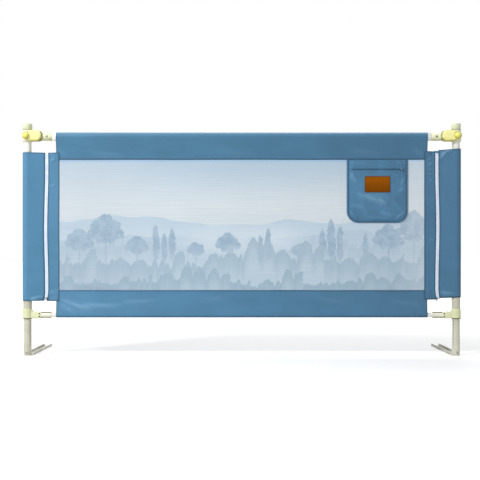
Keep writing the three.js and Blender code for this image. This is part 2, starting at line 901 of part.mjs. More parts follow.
// Plug in the foot of the upper tube: guides the push rod and houses the lock clip
function lockPlug() {
  const body = revolved([
    [0, 0],
    [slidingTubeOuter / 2 - gap, 0],
    [slidingTubeOuter / 2, gap],
    [slidingTubeOuter / 2, plugFlange - gap],
    [slidingTubeInner / 2 - gap, plugFlange - gap],
    [slidingTubeInner / 2 - gap, plugHeight],
    [0, plugHeight],
  ]);
  const chamber = block(
    [-clipChamberWidth / 2, -clipChamberDepth / 2, clipChamberFloor],
    [clipChamberWidth / 2, clipChamberDepth / 2, clipChamberTop],
  );
  const guide = rodSide / 2 + gap;
  const rodHole = block([-guide, -guide, clipChamberTop - overrun], [guide, guide, plugHeight + overrun]);
  const nubHole = rodX(clipNubDiameter + gap * 2, 0, slidingTubeOuter, 0, clipNubHeight, smallFacets);
  return cut(body, chamber, rodHole, nubHole);
}

// Lock clip: a U of spring strip, one leg with the nub and a sloping tab under the push rod
function lockClip() {
  const outer = clipChamberWidth / 2 - gap;
  const inner = outer - clipGauge;
  const floor = clipChamberFloor + gap;
  const slope = clipGauge * Math.SQRT2;
  const outline = frontPolygon([
    [-outer, floor + outer / 2],
    [-outer / 2, floor],
    [outer / 2, floor],
    [outer, floor + outer / 2],
    [outer, clipLegTop],
    [outer - clipTabReach, clipLegTop + clipTabReach],
    [outer - clipTabReach - slope, clipLegTop + clipTabReach],
    [inner, clipLegTop + outer - inner - slope],
    [inner, floor + outer / 2 + clipGauge / 2],
    [outer / 2 - clipGauge / 2, floor + clipGauge],
    [-outer / 2 + clipGauge / 2, floor + clipGauge],
    [-inner, floor + outer / 2 + clipGauge / 2],
    [-inner, clipLegTop],
    [-outer, clipLegTop],
  ]);
  const depth = clipChamberDepth - gap * 2;
  const strip = alongY(extruded(outline, depth), -depth / 2);
  const tip = middleTubeOuter / 2 + nubProud;
  return join(strip, rodX(clipNubDiameter, inner, tip, 0, clipNubHeight, smallFacets));
}

function buttonSpring() {
  const seat = socketOuter / 2 - spotFaceDepth + gap;
  const ceiling = buttonCeiling - gap;
  return coilSpring(springMean, springWire, seat, ceiling, springTurns).rotateX(Math.PI / 2);
}

// Rail halves lie on the X axis of their own frame and meet in the middle
const topRail = () => {
  const body = tubeX(topRailOuter, topRailInner, gap / 2, railTop, 0);
  const screwX = postX - screwReach;
  const hole = rodY(railScrewDiameter + gap * 2, -topRailOuter, 0, screwX, 0, smallFacets);
  return cut(body, hole);
};
const lowerRail = () => tubeX(lowerRailOuter, lowerRailInner, gap / 2, lowerRailTop, 0);

function railJoiner(railInner) {
  const outer = railInner - gap * 2;
  return tubeX(outer, outer - joinerWall * 2, -joinerLength / 2, joinerLength / 2, 0);
}

// A cloth sleeve round a round core: both layers run straight from the core to the seam that joins them
function sleeveSection(inner, wall, drop, seamWidth) {
  const outer = inner + wall;
  const half = wall;
  const lean = (radius, x, y) => Math.atan2(y, x) + Math.acos(radius / Math.hypot(x, y));
  const outerStart = lean(outer, half, -drop);
  const shape = new THREE.Shape();
  shape.moveTo(-half, -drop);
  shape.lineTo(half, -drop);
  shape.absarc(0, 0, outer, outerStart, Math.PI - outerStart);
  shape.lineTo(-half, -drop);
  const seamTop = -drop + seamWidth;
  const innerStart = lean(inner, 0, seamTop);
  const hollow = new THREE.Path();
  hollow.moveTo(0, seamTop);
  hollow.absarc(0, 0, inner, innerStart, Math.PI - innerStart);
  hollow.lineTo(0, seamTop);
  shape.holes.push(hollow);
  return shape;
}

function topBand() {
  const section = sleeveSection(topBandInner, clothLoop, topBandDrop, seamWidth);
  return alongX(extruded(section, bandEnd * 2), -bandEnd);
}

function bottomBand() {
  const section = sleeveSection(bottomBandInner, clothLoop, bottomBandRise, seamWidth);
  return alongX(extruded(section, bandEnd * 2), -bandEnd).rotateX(Math.PI);
}

// Grid lines across a net: a thread, a gap, a thread and so on
function netLines(low, high, gaps, thread) {
  const step = (high - low - thread) / gaps;
  const lines = [];
  for (let i = 0; i <= gaps; i += 1) lines.push(low + step * i, low + step * i + thread);
  return lines;
}

// Mesh panel: a flat net, its cells between two threads left open
function meshPanel() {
  const xs = netLines(-meshEnd, meshEnd, meshColumns, meshThread);
  const zs = netLines(bottomBandTop + gap, topBandBottom - gap, meshRows, meshThread);
  const front = -meshThickness / 2;
  const back = meshThickness / 2;
  const inside = (i, k) => i >= 0 && k >= 0 && i < xs.length - 1 && k < zs.length - 1;
  const isCloth = (i, k) => inside(i, k) && (i % 2 === 0 || k % 2 === 0);
  const corners = [];
  const quad = (a, b, c, d) => corners.push(...a, ...b, ...c, ...a, ...c, ...d);
  const wall = ([x0, z0], [x1, z1]) =>
    quad([x0, front, z0], [x0, back, z0], [x1, back, z1], [x1, front, z1]);
  for (let i = 0; i < xs.length - 1; i += 1) {
    for (let k = 0; k < zs.length - 1; k += 1) {
      if (!isCloth(i, k)) continue;
      const [west, east, low, high] = [xs[i], xs[i + 1], zs[k], zs[k + 1]];
      quad([west, front, low], [east, front, low], [east, front, high], [west, front, high]);
      quad([west, back, low], [west, back, high], [east, back, high], [east, back, low]);
      if (!isCloth(i - 1, k)) wall([west, high], [west, low]);
      if (!isCloth(i + 1, k)) wall([east, low], [east, high]);
      if (!isCloth(i, k - 1)) wall([west, low], [east, low]);
      if (!isCloth(i, k + 1)) wall([east, high], [west, high]);
    }
  }
  const geometry = new THREE.BufferGeometry();
  geometry.setAttribute("position", new THREE.Float32BufferAttribute(corners, 3));
  return closed(geometry);
}

function sideBorder() {
  const band = bandEnd + gap;
  const outline = frontPolygon([
    [borderInner, bottomBandTop + gap],
    [band, bottomBandTop + gap],
    [band, fabricBottom],
    [borderOuter, fabricBottom],
    [borderOuter, fabricTop],
    [band, fabricTop],
    [band, topBandBottom - gap],
    [borderInner, topBandBottom - gap],
  ]);
  return alongY(extruded(outline, clothDouble), -clothDouble / 2);
}

// Zip strip: two tapes with the row of teeth standing between them
function zipStrip() {
  const middle = (zipInner + zipOuter) / 2;
  const tape = zipTape / 2;
  const teeth = zipTeethWidth / 2;
  const section = polygon([
    [zipInner, -tape],
    [middle - teeth, -tape],
    [middle - teeth + zipTeethHeight, -tape - zipTeethHeight],
    [middle + teeth - zipTeethHeight, -tape - zipTeethHeight],
    [middle + teeth, -tape],
    [zipOuter, -tape],
    [zipOuter, tape],
    [zipInner, tape],
  ]);
  return extruded(section, fabricTop - fabricBottom).translate(0, 0, fabricBottom);
}

// Side panel: cloth wrapped round the post, its two layers sewn together beside the zip
function sidePanel() {
  const tail = postX - zipOuter - gap;
  const section = sleeveSection(panelLoopInner, clothLoop, tail, seamWidth);
  const wrap = extruded(section, panelTop - panelBottom).rotateZ(-Math.PI / 2);
  return wrap.translate(0, 0, panelBottom);
}

function pocket() {
  const half = pocketWidth / 2;
  const shape = new THREE.Shape();
  shape.moveTo(-half, 0);
  shape.lineTo(-half, -pocketHeight + pocketRound);
  shape.absarc(-half + pocketRound, -pocketHeight + pocketRound, pocketRound, Math.PI, Math.PI * 1.5);
  shape.lineTo(half - pocketRound, -pocketHeight);
  shape.absarc(half - pocketRound, -pocketHeight + pocketRound, pocketRound, -Math.PI / 2, 0);
  shape.lineTo(half, 0);
  const bag = alongY(extruded(shape, pocketDepth, roundFacets, pocketBevel), -pocketDepth);
  const zipBlock = block(
    [-pocketZipWidth / 2, -pocketDepth - pocketZipProud, -pocketZipDrop - pocketZipHeight / 2],
    [pocketZipWidth / 2, -pocketDepth / 2, -pocketZipDrop + pocketZipHeight / 2],
  );
  return join(bag, zipBlock);
}

function leatherPatch() {
  const outline = roundedRectangle(patchWidth, patchHeight, patchRound);
  return alongY(extruded(outline, patchThickness, arcFacets), -patchThickness);
}

// Zip slider: a tapered body with two ears and the cross pin that carries the pull
const pinDepth = sliderDepth + earReach - pinInset;

function zipSlider() {
  const half = sliderWidth / 2;
  const outline = frontPolygon([
    [-half + sliderTaper, 0],
    [half - sliderTaper, 0],
    [half, sliderHeight / 2],
    [half, sliderHeight],
    [-half, sliderHeight],
    [-half, sliderHeight / 2],
  ]);
  const body = alongY(extruded(outline, sliderDepth), -sliderDepth);
  const span = pullWidth / 2 + gap;
  const earBottom = (sliderHeight - earHeight) / 2;
  const ears = [-1, 1].map((side) => {
    const xs = [side * span, side * (span + earWidth)].sort((a, b) => a - b);
    return block(
      [xs[0], -sliderDepth - earReach, earBottom],
      [xs[1], -sliderDepth / 2, earBottom + earHeight],
    );
  });
  const pin = rodX(
    pinDiameter,
    -span - earWidth / 2,
    span + earWidth / 2,
    -pinDepth,
    sliderHeight / 2,
    smallFacets,
  );
  return join(body, ...ears, pin);
}

// Zip pull: a ring round the slider's pin and a flat tab that hangs from it, drawn about the pin
function zipPull() {
  const bore = pinDiameter + gap * 2;
  const ring = alongX(extruded(disc(pullRing), pullWidth, smallFacets), -pullWidth / 2);
  const tab = block(
    [-pullWidth / 2, -pullThickness / 2, -pullLength],
    [pullWidth / 2, pullThickness / 2, 0],
  );
  const hole = rodX(bore, -pullWidth, pullWidth, 0, 0, smallFacets);
  const windowHigh = -pullLength + pullWidth * 1.5;
  const window = rodY(pullWidth / 2, -pullThickness, pullThickness, 0, windowHigh, smallFacets);
  return cut(join(ring, tab), hole, window);
}

// Everything at one end of the rail, built at the right and mirrored for the left
function railEnd(name, mirror) {
  const end = new THREE.Group();
  end.scale.x = mirror;
  const piece = (label, geometry, look, place) => add(end, `${name}_${label}`, geometry, look, place);

  piece("foot_channel", footChannel(), beigePaint, [channelX, 0, 0]);
  piece("foot_tube", footTube(), beigePaint, [postX, 0, footTubeBottom]);
  const footScrewPlace = [postX, -slidingTubeOuter / 2 - gap, footScrewHeight];
  const footScrew = screw(footScrewDiameter, footScrewLength, footScrewHead, footScrewHeadHeight);
  piece("foot_screw", footScrew, steel, footScrewPlace);

  piece("lower_connector", lowerConnector(), paleMoulding, [postX, 0, 0]);
  piece("release_tab", releaseTab(), yellowMoulding, [postX, 0, 0]);
  piece("latch_spring", latchSpring(), steel, [postX, 0, 0]);

  piece("middle_tube", middleTube(), beigePaint, [postX, 0, middleTubeBottom]);
  piece("tube_bush", tubeBush(), nylon, [postX, 0, middleTubeTop + gap]);
  piece("upper_tube", upperTube(), whitePaint, [postX, 0, upperTubeBottom]);
  piece("lock_plug", lockPlug(), nylon, [postX, 0, upperTubeBottom - plugFlange]);
  piece("lock_clip", lockClip(), steel, [postX, 0, upperTubeBottom - plugFlange]);
  piece("push_rod", pushRod(), nylon, [postX, 0, 0]);

  piece("top_connector", topConnector(), paleMoulding, [postX, 0, 0]);
  piece("top_cover", topCover(), yellowMoulding, [postX, 0, 0]);
  piece("push_button", pushButton(), yellowButton, [postX, 0, buttonHeight]);
  piece("button_spring", buttonSpring(), steel, [postX, 0, buttonHeight]);
  piece("post_cap", postCap(), paleMoulding, [postX, 0, capBottom]);
  const railScrewSeat = -topCollarOuter / 2 + recessDepth - gap;
  const railScrew = screw(railScrewDiameter, railScrewLength, railScrewHead, railScrewHeadHeight);
  piece("rail_screw", railScrew, darkSteel, [postX - screwReach, railScrewSeat, topRailHeight]);

  piece("top_rail", topRail(), whitePaint, [0, 0, topRailHeight]);
  piece("lower_rail", lowerRail(), whitePaint, [0, 0, lowerRailHeight]);

  piece("side_border", sideBorder(), blueCloth);
  piece("zip_strip", zipStrip(), zipCloth);
  piece("side_panel", sidePanel(), blueCloth, [postX, 0, 0]);
  const zipMiddle = (zipInner + zipOuter) / 2;
  const sliderBack = -zipTape / 2 - zipTeethHeight - gap;
  piece("zip_slider", zipSlider(), pullEnamel, [zipMiddle, sliderBack, sliderBottom]);
  const pullPlace = [zipMiddle, sliderBack - pinDepth, sliderBottom + sliderHeight / 2];
  piece("zip_pull", zipPull(), pullEnamel, pullPlace);
  part.add(end);
}

railEnd("left", -1);
railEnd("right", 1);

add(part, "top_rail_joiner", railJoiner(topRailInner), steel, [0, 0, topRailHeight]);
add(part, "lower_rail_joiner", railJoiner(lowerRailInner), steel, [0, 0, lowerRailHeight]);
add(part, "foam_sleeve", tubeX(foamOuter, foamInner, -foamEnd, foamEnd, 0), foam, [0, 0, topRailHeight]);
add(part, "top_band", topBand(), blueCloth, [0, 0, topRailHeight]);
add(part, "bottom_band", bottomBand(), blueCloth, [0, 0, lowerRailHeight]);
add(part, "mesh_panel", meshPanel(), meshCloth);

const pocketBack = -meshThickness / 2 - gap;
const pocketTop = topBandBottom - gap;
add(part, "pocket", pocket(), blueCloth, [pocketCentre, pocketBack, pocketTop]);
const patchBack = pocketBack - pocketDepth - gap;
add(part, "leather_patch", leatherPatch(), leather, [pocketCentre, patchBack, pocketTop - patchDrop]);

const pocketZipFront = pocketBack - pocketDepth - pocketZipProud - gap;
const pocketSliderX = pocketCentre + pocketZipWidth / 2 - pocketSliderInset;
const pocketSliderZ = pocketTop - pocketZipDrop - sliderHeight / 2;
add(part, "pocket_slider", zipSlider(), pullEnamel, [pocketSliderX, pocketZipFront, pocketSliderZ]);
const pocketPinZ = pocketSliderZ + sliderHeight / 2;
add(part, "pocket_pull", zipPull(), pullEnamel, [pocketSliderX, pocketZipFront - pinDepth, pocketPinZ]);

export default part;
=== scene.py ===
import math

import bmesh
import bpy
from mathutils import Matrix, Vector, noise


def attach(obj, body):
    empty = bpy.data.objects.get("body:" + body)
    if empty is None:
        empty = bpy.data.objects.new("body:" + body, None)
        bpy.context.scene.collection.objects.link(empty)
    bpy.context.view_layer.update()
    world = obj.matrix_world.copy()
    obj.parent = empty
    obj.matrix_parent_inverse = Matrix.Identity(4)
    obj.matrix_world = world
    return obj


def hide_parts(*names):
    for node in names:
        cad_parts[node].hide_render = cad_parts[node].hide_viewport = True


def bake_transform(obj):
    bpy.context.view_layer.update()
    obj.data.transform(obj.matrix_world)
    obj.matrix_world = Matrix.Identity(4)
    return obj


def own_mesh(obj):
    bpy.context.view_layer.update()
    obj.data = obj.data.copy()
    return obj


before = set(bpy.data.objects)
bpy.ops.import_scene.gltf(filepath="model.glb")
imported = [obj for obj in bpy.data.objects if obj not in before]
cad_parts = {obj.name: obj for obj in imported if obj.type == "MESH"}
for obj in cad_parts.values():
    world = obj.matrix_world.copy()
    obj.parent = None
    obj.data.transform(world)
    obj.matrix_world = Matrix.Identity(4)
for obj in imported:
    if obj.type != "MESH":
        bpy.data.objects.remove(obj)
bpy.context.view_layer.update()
bpy.ops.object.select_all(action="DESELECT")
scene = bpy.context.scene
scene.view_settings.view_transform = "Standard"

# Places of the rail in the shared frame
PLANE_Y = -0.1576
POST_X = 0.878
TOP_RAIL_Z = 0.895
LOWER_RAIL_Z = 0.165
BUTTON_Z = 0.898
ON_POST = (POST_X, PLANE_Y, 0)
BAND_END_X = 0.760
TOP_BAND_Z = 0.801
BOTTOM_BAND_Z = 0.266
MESH_X = 0.748
COVER_LOW_Z = 0.222
COVER_HIGH_Z = 0.830
ZIP_X = 0.79915
PANEL_LOW_Z = 0.231
PANEL_HIGH_Z = 0.838
# Thickness of the cloth, and how far each layer of a doubled cloth lies from its middle
CLOTH = 0.0006
LAYER = 0.0009
# Corners closer than this are one
TINY = 0.000005
SIDES = (("left", -1), ("right", 1))
FRONT = Vector((0, -1, 0))
BACK = Vector((0, 1, 0))


# ------------------------------------------------------------------ modelling
def only(*pieces):
    bpy.ops.object.select_all(action="DESELECT")
    for piece in pieces:
        piece.select_set(True)
    bpy.context.view_layer.objects.active = pieces[0]


def named(name):
    piece = bpy.context.active_object
    piece.name = piece.data.name = name
    return piece


def applied(piece):
    only(piece)
    bpy.ops.object.transform_apply(location=True, rotation=True, scale=True)
    return piece


def modify(piece, kind, **settings):
    only(piece)
    modifier = piece.modifiers.new(kind.lower(), kind)
    for key, value in settings.items():
        setattr(modifier, key, value)
    bpy.ops.object.modifier_apply(modifier=modifier.name)


def edit(piece, part="FACE", test=None):
    """Opens the piece in edit mode with the faces, edges or corners that pass the test selected."""
    only(piece)
    bpy.ops.object.mode_set(mode="EDIT")
    bpy.ops.mesh.select_mode(type=part)
    bpy.ops.mesh.select_all(action="SELECT" if test is None else "DESELECT")
    if test is not None:
        mesh = bmesh.from_edit_mesh(piece.data)
        for element in {"VERT": mesh.verts, "EDGE": mesh.edges, "FACE": mesh.faces}[part]:
            if test(element):
                element.select_set(True)
        mesh.select_flush_mode()
        bmesh.update_edit_mesh(piece.data)


def leave():
    bpy.ops.object.mode_set(mode="OBJECT")


def worked(piece, operator, part="FACE", test=None, **settings):
    """Runs one operator of edit mode on the parts that pass the test."""
    edit(piece, part, test)
    operator(**settings)
    leave()


def bevelled(piece, offset, segments, test):
    worked(piece, bpy.ops.mesh.bevel, "EDGE", test, offset=offset, segments=segments, affect="EDGES")


def running(axis, length, test):
    """Picks edges that run further than the length along an axis and whose two ends pass the test."""
    along = "XYZ".index(axis)

    def picked(line):
        start, end = (corner.co for corner in line.verts)
        return abs(end[along] - start[along]) > length and test(start) and test(end)

    return picked


def smoothed(piece, angle):
    """Turns the faces outwards and smooths what isn't an edge."""
    worked(piece, bpy.ops.mesh.normals_make_consistent, inside=False)
    only(piece)
    bpy.ops.object.shade_smooth_by_angle(angle=math.radians(angle))
    return piece


def cleaned(piece, angle=40):
    """Merges doubles, then smooths."""
    worked(piece, bpy.ops.mesh.remove_doubles, threshold=TINY)
    return smoothed(piece, angle)


def rounded(piece, width, segments=2, angle=30):
    limit = math.radians(angle)
    modify(piece, "BEVEL", width=width, segments=segments, limit_method="ANGLE", angle_limit=limit)
    return cleaned(piece)


looks = {}


def dressed(piece, look):
    piece.data.materials.clear()
    piece.data.materials.append(looks[look])
    return piece


def drum(name, rings, sides):
    """A round piece standing on Z: a circle drawn out and resized from ring to ring of (height, radius)."""
    height, radius = rings[0]
    bpy.ops.mesh.primitive_circle_add(vertices=sides, radius=radius, location=(0, 0, height))
    piece = applied(named(name))
    edit(piece, "VERT")
    for (low, small), (high, large) in zip(rings, rings[1:]):
        bpy.ops.mesh.extrude_region_move(TRANSFORM_OT_translate={"value": (0, 0, high - low)})
        share = large / small
        bpy.ops.transform.resize(value=(share, share, 1), center_override=(0, 0, high))
    bpy.ops.mesh.select_all(action="SELECT")
    bpy.ops.mesh.remove_doubles(threshold=TINY)
    bpy.ops.mesh.fill_holes(sides=0)
    bpy.ops.mesh.normals_make_consistent(inside=False)
    leave()
    return piece


def arc(radius, height, bulge, steps, rise=1):
    """Rings of a rounded edge: from the full radius at that height, in and up by the bulge."""
    turns = [math.pi / 2 * i / steps for i in range(steps + 1)]
    return [(height + rise * bulge * math.sin(t), radius - bulge + bulge * math.cos(t)) for t in turns]


def wall_rings(outer, inner, low, high):
    """Rings of a tube with slightly rounded ends."""
    edge = 0.0003
    wall = [(low, outer - edge), (low + edge, outer), (high - edge, outer), (high, outer - edge)]
    return [(low, inner), *wall, (high, inner), (low, inner)]


def stood(piece, place, axis="Z"):
    """Lays a piece that was made along Z along the given axis, and puts it in its place."""
    turn = math.pi / 2
    piece.rotation_euler = {"Z": (0, 0, 0), "X": (0, turn, 0), "-X": (0, -turn, 0), "-Y": (turn, 0, 0)}[axis]
    piece.location = place
    return applied(piece)


def turned(name, rings, place=(0, 0, 0), axis="Z", sides=48):
    return stood(drum(name, rings, sides), place, axis)


def bar(name, low, high, edge=0.0, segments=2, axis=None):
    """A block given by two corners; its edges along one axis, or all of them, are bevelled."""
    middle = [(a + b) / 2 for a, b in zip(low, high)]
    bpy.ops.mesh.primitive_cube_add(size=1, location=middle)
    piece = named(name)
    piece.scale = [b - a for a, b in zip(low, high)]
    applied(piece)
    if edge:
        all_of = lambda part: True
        bevelled(piece, edge, segments, running(axis, TINY, all_of) if axis else all_of)
    return piece


def pin(name, radius, low, high, place, axis="Z", sides=48):
    """A plain round tool or rod from low to high along an axis."""
    return turned(name, [(low, radius), (high, radius)], place, axis, sides)


def combined(piece, operation, *tools):
    for tool in tools:
        modify(piece, "BOOLEAN", object=tool, operation=operation, solver="EXACT")
        bpy.data.objects.remove(tool)
    return piece


def joined(piece, *tools):
    return combined(piece, "UNION", *tools)


def bored(piece, *tools):
    return combined(piece, "DIFFERENCE", *tools)


def one_of(name, pieces):
    """Joins pieces into one object, without merging them."""
    only(*pieces)
    bpy.ops.object.join()
    return named(name)


def drilled(piece, *tools):
    """Cuts tools that stay clear of each other, all in one go."""
    return bored(piece, one_of("drills", tools))


def laid(name, look, grid, size, shape, edge=None, painted_light=None, thickness=CLOTH):
    """A sheet of cloth: a grid of so many columns and rows, whose corners go where shape says, from shares
    across and along. Its size is the flat width and length. Edge gives the distance to the nearest sewn
    edge, and painted_light gives painted shade, up to 1, as along a hem or in a groove, and a painted
    highlight, down to -1, as on the lit side of a crease. Half of its thickness goes to each side."""
    bpy.ops.mesh.primitive_grid_add(x_subdivisions=grid[0], y_subdivisions=grid[1], size=1)
    piece = named(name)
    mesh = piece.data
    flat = [(corner.co.x + 0.5, corner.co.y + 0.5) for corner in mesh.vertices]
    distance = mesh.attributes.new("edge", "FLOAT", "POINT")
    # Painted light for the cloth: painted shade above zero, painted highlight below zero
    shade = mesh.attributes.new("painted_light", "FLOAT", "POINT")
    weave = mesh.uv_layers.active
    for loop in mesh.loops:
        u, v = flat[loop.vertex_index]
        weave.data[loop.index].uv = (u * size[0], v * size[1])
    for corner, (u, v) in zip(mesh.vertices, flat):
        corner.co = shape(u, v)
        distance.data[corner.index].value = edge(u, v) if edge else 1.0
        shade.data[corner.index].value = painted_light(u, v) if painted_light else 0.0
    modify(piece, "SOLIDIFY", thickness=thickness, offset=0, use_even_offset=True)
    return dressed(smoothed(piece, 50), look)


# ------------------------------------------------------------------ the cover's slack and folds
def metres(*rows):
    """Rows of lengths given in millimetres."""
    return [[value / 1000 for value in row] for row in rows]


# Each fold: start x and z, end x and z, height, half width
FOLDS = metres(
    (-738, 226, -600, 182, 12.5, 11), (-690, 206, -480, 200, 10, 10), (-740, 205, -668, 170, 8.5, 8.5),
    (-500, 214, -340, 222, 5, 11), (-868, 238, -806, 251, 7, 6), (-866, 232, -812, 229, 5, 6),
    (806, 818, 868, 841, 8, 6), (804, 800, 836, 824, 5, 6), (806, 256, 868, 247, 6, 7),
    (-690, 303, -540, 272, 5.2, 11), (-560, 282, -420, 275, 2.4, 9), (560, 286, 690, 276, 3, 9),
    (300, 235, 440, 214, 3, 10), (-180, 222, -40, 238, 2.4, 11), (600, 226, 742, 205, 3.2, 9),
    (764, 795, 778, 806, 3.4, 3.5), (765, 774, 780, 784, 3.6, 3.5), (766, 754, 778, 761, 3, 3.2),
    (765, 732, 779, 741, 2.8, 3.2), (766, 708, 780, 716, 2.6, 3.4), (764, 470, 788, 466, 2.6, 4.5),
    (-787, 690, -764, 698, 2.6, 4.5), (-786, 792, -764, 806, 3, 4), (-786, 262, -766, 250, 3, 4.5),
    (440, 842, 580, 820, 2.6, 11), (-640, 832, -470, 813, 2.6, 11), (-120, 836, 60, 822, 2.2, 12),
    (700, 850, 752, 812, 3, 8), (-752, 850, -706, 812, 3, 8),
)


def folds(x, z, table=FOLDS):
    """Height of the creases at a place: each is steep on its upper side and eases off below."""
    total = 0.0
    for x0, z0, x1, z1, height, half in table:
        if abs(z - (z0 + z1) / 2) > abs(z1 - z0) / 2 + half * 5 or abs(x - (x0 + x1) / 2) > 0.11:
            continue
        run, rise = x1 - x0, z1 - z0
        length = math.hypot(run, rise)
        along = ((x - x0) * run + (z - z0) * rise) / length
        across = ((x - x0) * rise - (z - z0) * run) / length
        if 0 < along < length and abs(across) < half * 5:
            middle = (along / length - 0.5) * 2
            spread = half * (0.7 if across * run < 0 else 1.6)
            total += height * math.exp(-((across / spread) ** 2)) * max(0.0, 1 - middle * middle)
    return total


def hump(value, width):
    """1 at zero, falling off like a bell."""
    return math.exp(-((value / width) ** 2))


def smooth(value, low, high):
    """Eases from 0 at the low value to 1 at the high one."""
    share = min(1.0, max(0.0, (value - low) / (high - low)))
    return share * share * (3 - 2 * share)


def lumps(x, z, wide, tall, lane):
    """Smooth lumps from -1 to 1, so many to a metre; the lane tells one pattern from another."""
    return noise.noise(Vector((x * wide, lane, z * tall)))


def slack(x, z):
    """How far the taut cover stands forward of its flat plane. Where the pocket lies or comes down to, the
    mesh is flat, so the pocket stays clear in front of it when the rail is lowered."""
    loose = 1.0
    if 0.385 < x < 0.745 and 0.33 < z < 0.83:
        beside = max(smooth(0.428 - x, 0.0, 0.042), smooth(x - 0.684, 0.0, 0.060))
        beyond = max(smooth(0.380 - z, 0.0, 0.050), smooth(z - 0.806, 0.0, 0.024))
        loose = max(beside, beyond)
    drape = 0.0026 * lumps(x, z, 2.6, 3.7, 4.7) + 0.0014 * lumps(x, z, 8.5, 7.5, 9.2)
    return loose * (drape + 0.0003 * lumps(x, z, 24, 19, 2.2) + folds(x, z))


def sway(x, z):
    """How far the zips and the cloth beside them run off a straight line, sideways. Below its slider the
    zip is open, so there the cloth spreads."""
    away = abs(x) - ZIP_X
    near = hump(away, 0.030)
    share = (z - COVER_LOW_Z) / (COVER_HIGH_Z - COVER_LOW_Z)
    bow = math.sin(share * math.pi) * 0.0034 - 0.0012 * math.sin(share * math.pi * 3)
    open_share = max(0.0, 1 - (z - COVER_LOW_Z) / 0.050) ** 2
    spread = 0.0066 * near * open_share * smooth(abs(away), 0.0006, 0.0065)
    return math.copysign(math.copysign(spread, away) - near * bow, x)


def on_cover(x, y, z, hold=1.0, up=0.0):
    """A place on the cover, moved by its sway and slack, and up."""
    return Vector((x + sway(x, z), y - slack(x, z) * hold, z + up))


# ------------------------------------------------------------------ materials
def colour(red, green, blue):
    """A screen colour from 0 to 255 as the shader's linear one."""
    parts = [part / 255 for part in (red, green, blue)]
    linear = [p / 12.92 if p <= 0.04045 else ((p + 0.055) / 1.055) ** 2.4 for p in parts]
    return (*linear, 1.0)


def dimmed(tone, share):
    return (*(part * share for part in colour(*tone)[:3]), 1.0)


def made_by(operation):
    return lambda value, *others: value.nodes.number(operation, value, *others)


class Value:
    """A number in a node tree. Whatever is worked out from it, as in a * 2 + b, becomes further nodes."""

    __add__ = made_by("ADD")
    __sub__ = made_by("SUBTRACT")
    __mul__ = made_by("MULTIPLY")
    __pow__ = made_by("POWER")
    __abs__ = made_by("ABSOLUTE")
    larger = made_by("MAXIMUM")
    smaller = made_by("MINIMUM")

    def __init__(self, nodes, socket):
        self.nodes = nodes
        self.socket = socket

    def __rsub__(self, other):
        return self.nodes.number("SUBTRACT", other, self)

    def clamped(self):
        self.socket.node.use_clamp = True
        return self

    def waves(self, length):
        return self.nodes.number("SINE", self * (2 * math.pi / length))

    def step(self, low, high, to_low=0.0, to_high=1.0, kind="SMOOTHSTEP"):
        inputs = {"Value": self, "From Min": low, "From Max": high, "To Min": to_low, "To Max": to_high}
        return self.nodes.result("ShaderNodeMapRange", inputs, interpolation_type=kind)


class Nodes:
    """A node tree, filled node by node."""

    def __init__(self, tree):
        self.tree = tree
        self.made = 0

    def feed(self, target, value):
        if isinstance(value, Value):
            self.tree.links.new(value.socket, target)
        else:
            target.default_value = value

    def result(self, kind, inputs=None, output=0, **settings):
        """Makes a node, feeds its inputs by their names or numbers, and gives one of its outputs."""
        made = self.tree.nodes.new(kind)
        made.location = (-240 * (1 + self.made % 12), -220 * (self.made // 12))
        self.made += 1
        for key, value in settings.items():
            setattr(made, key, value)
        for key, value in (inputs or {}).items():
            self.feed(made.inputs[key], value)
        return Value(self, made.outputs[output])

    def number(self, operation, *values):
        return self.result("ShaderNodeMath", dict(enumerate(values)), operation=operation)

    def place(self, kind="Object"):
        return self.result("ShaderNodeTexCoord", output=kind)

    def surface(self, kind):
        return self.result("ShaderNodeNewGeometry", output=kind)

    def stored(self, name):
        return self.result("ShaderNodeAttribute", output="Fac", attribute_name=name)

    def stretched(self, vector, *scale, offset=(0, 0, 0)):
        return self.result("ShaderNodeMapping", {"Vector": vector, "Scale": scale, "Location": offset})

    def parts(self, vector):
        split = self.result("ShaderNodeSeparateXYZ", {0: vector})
        return [Value(self, output) for output in split.socket.node.outputs]

    def together(self, x, z=0.0):
        return self.result("ShaderNodeCombineXYZ", {0: x, 2: z})

    def grain(self, vector, scale, detail=2.0, rough=0.5):
        inputs = {"Vector": vector, "Scale": scale, "Detail": detail, "Roughness": rough}
        return self.result("ShaderNodeTexNoise", inputs)

    def blend(self, factor, first, second, kind="MIX"):
        inputs = {0: factor, 6: first, 7: second}
        return self.result("ShaderNodeMix", inputs, 2, data_type="RGBA", blend_type=kind)

    def layered(self, base, *layers):
        """Lays colours over a base, each as strong as the number given with it."""
        for strength, tone in layers:
            base = self.blend(strength, base, colour(*tone))
        return base

    def mixed(self, share, first, second):
        return self.layered(colour(*first), (share, second))


class Finish(Nodes):
    """A material: constants on its shader, and nodes for its colour and relief."""

    def __init__(self, name, **constants):
        self.material = looks[name] = bpy.data.materials.new(name)
        self.material.use_nodes = True
        super().__init__(self.material.node_tree)
        self.shader = self.tree.nodes["Principled BSDF"]
        for key, value in constants.items():
            self.shader.inputs[key.replace("_", " ")].default_value = value

    def end(self, tone, height, distance, strength):
        relief = self.result("ShaderNodeBump", {"Strength": strength, "Distance": distance, "Height": height})
        self.feed(self.shader.inputs["Base Color"], tone)
        self.feed(self.shader.inputs["Normal"], relief)


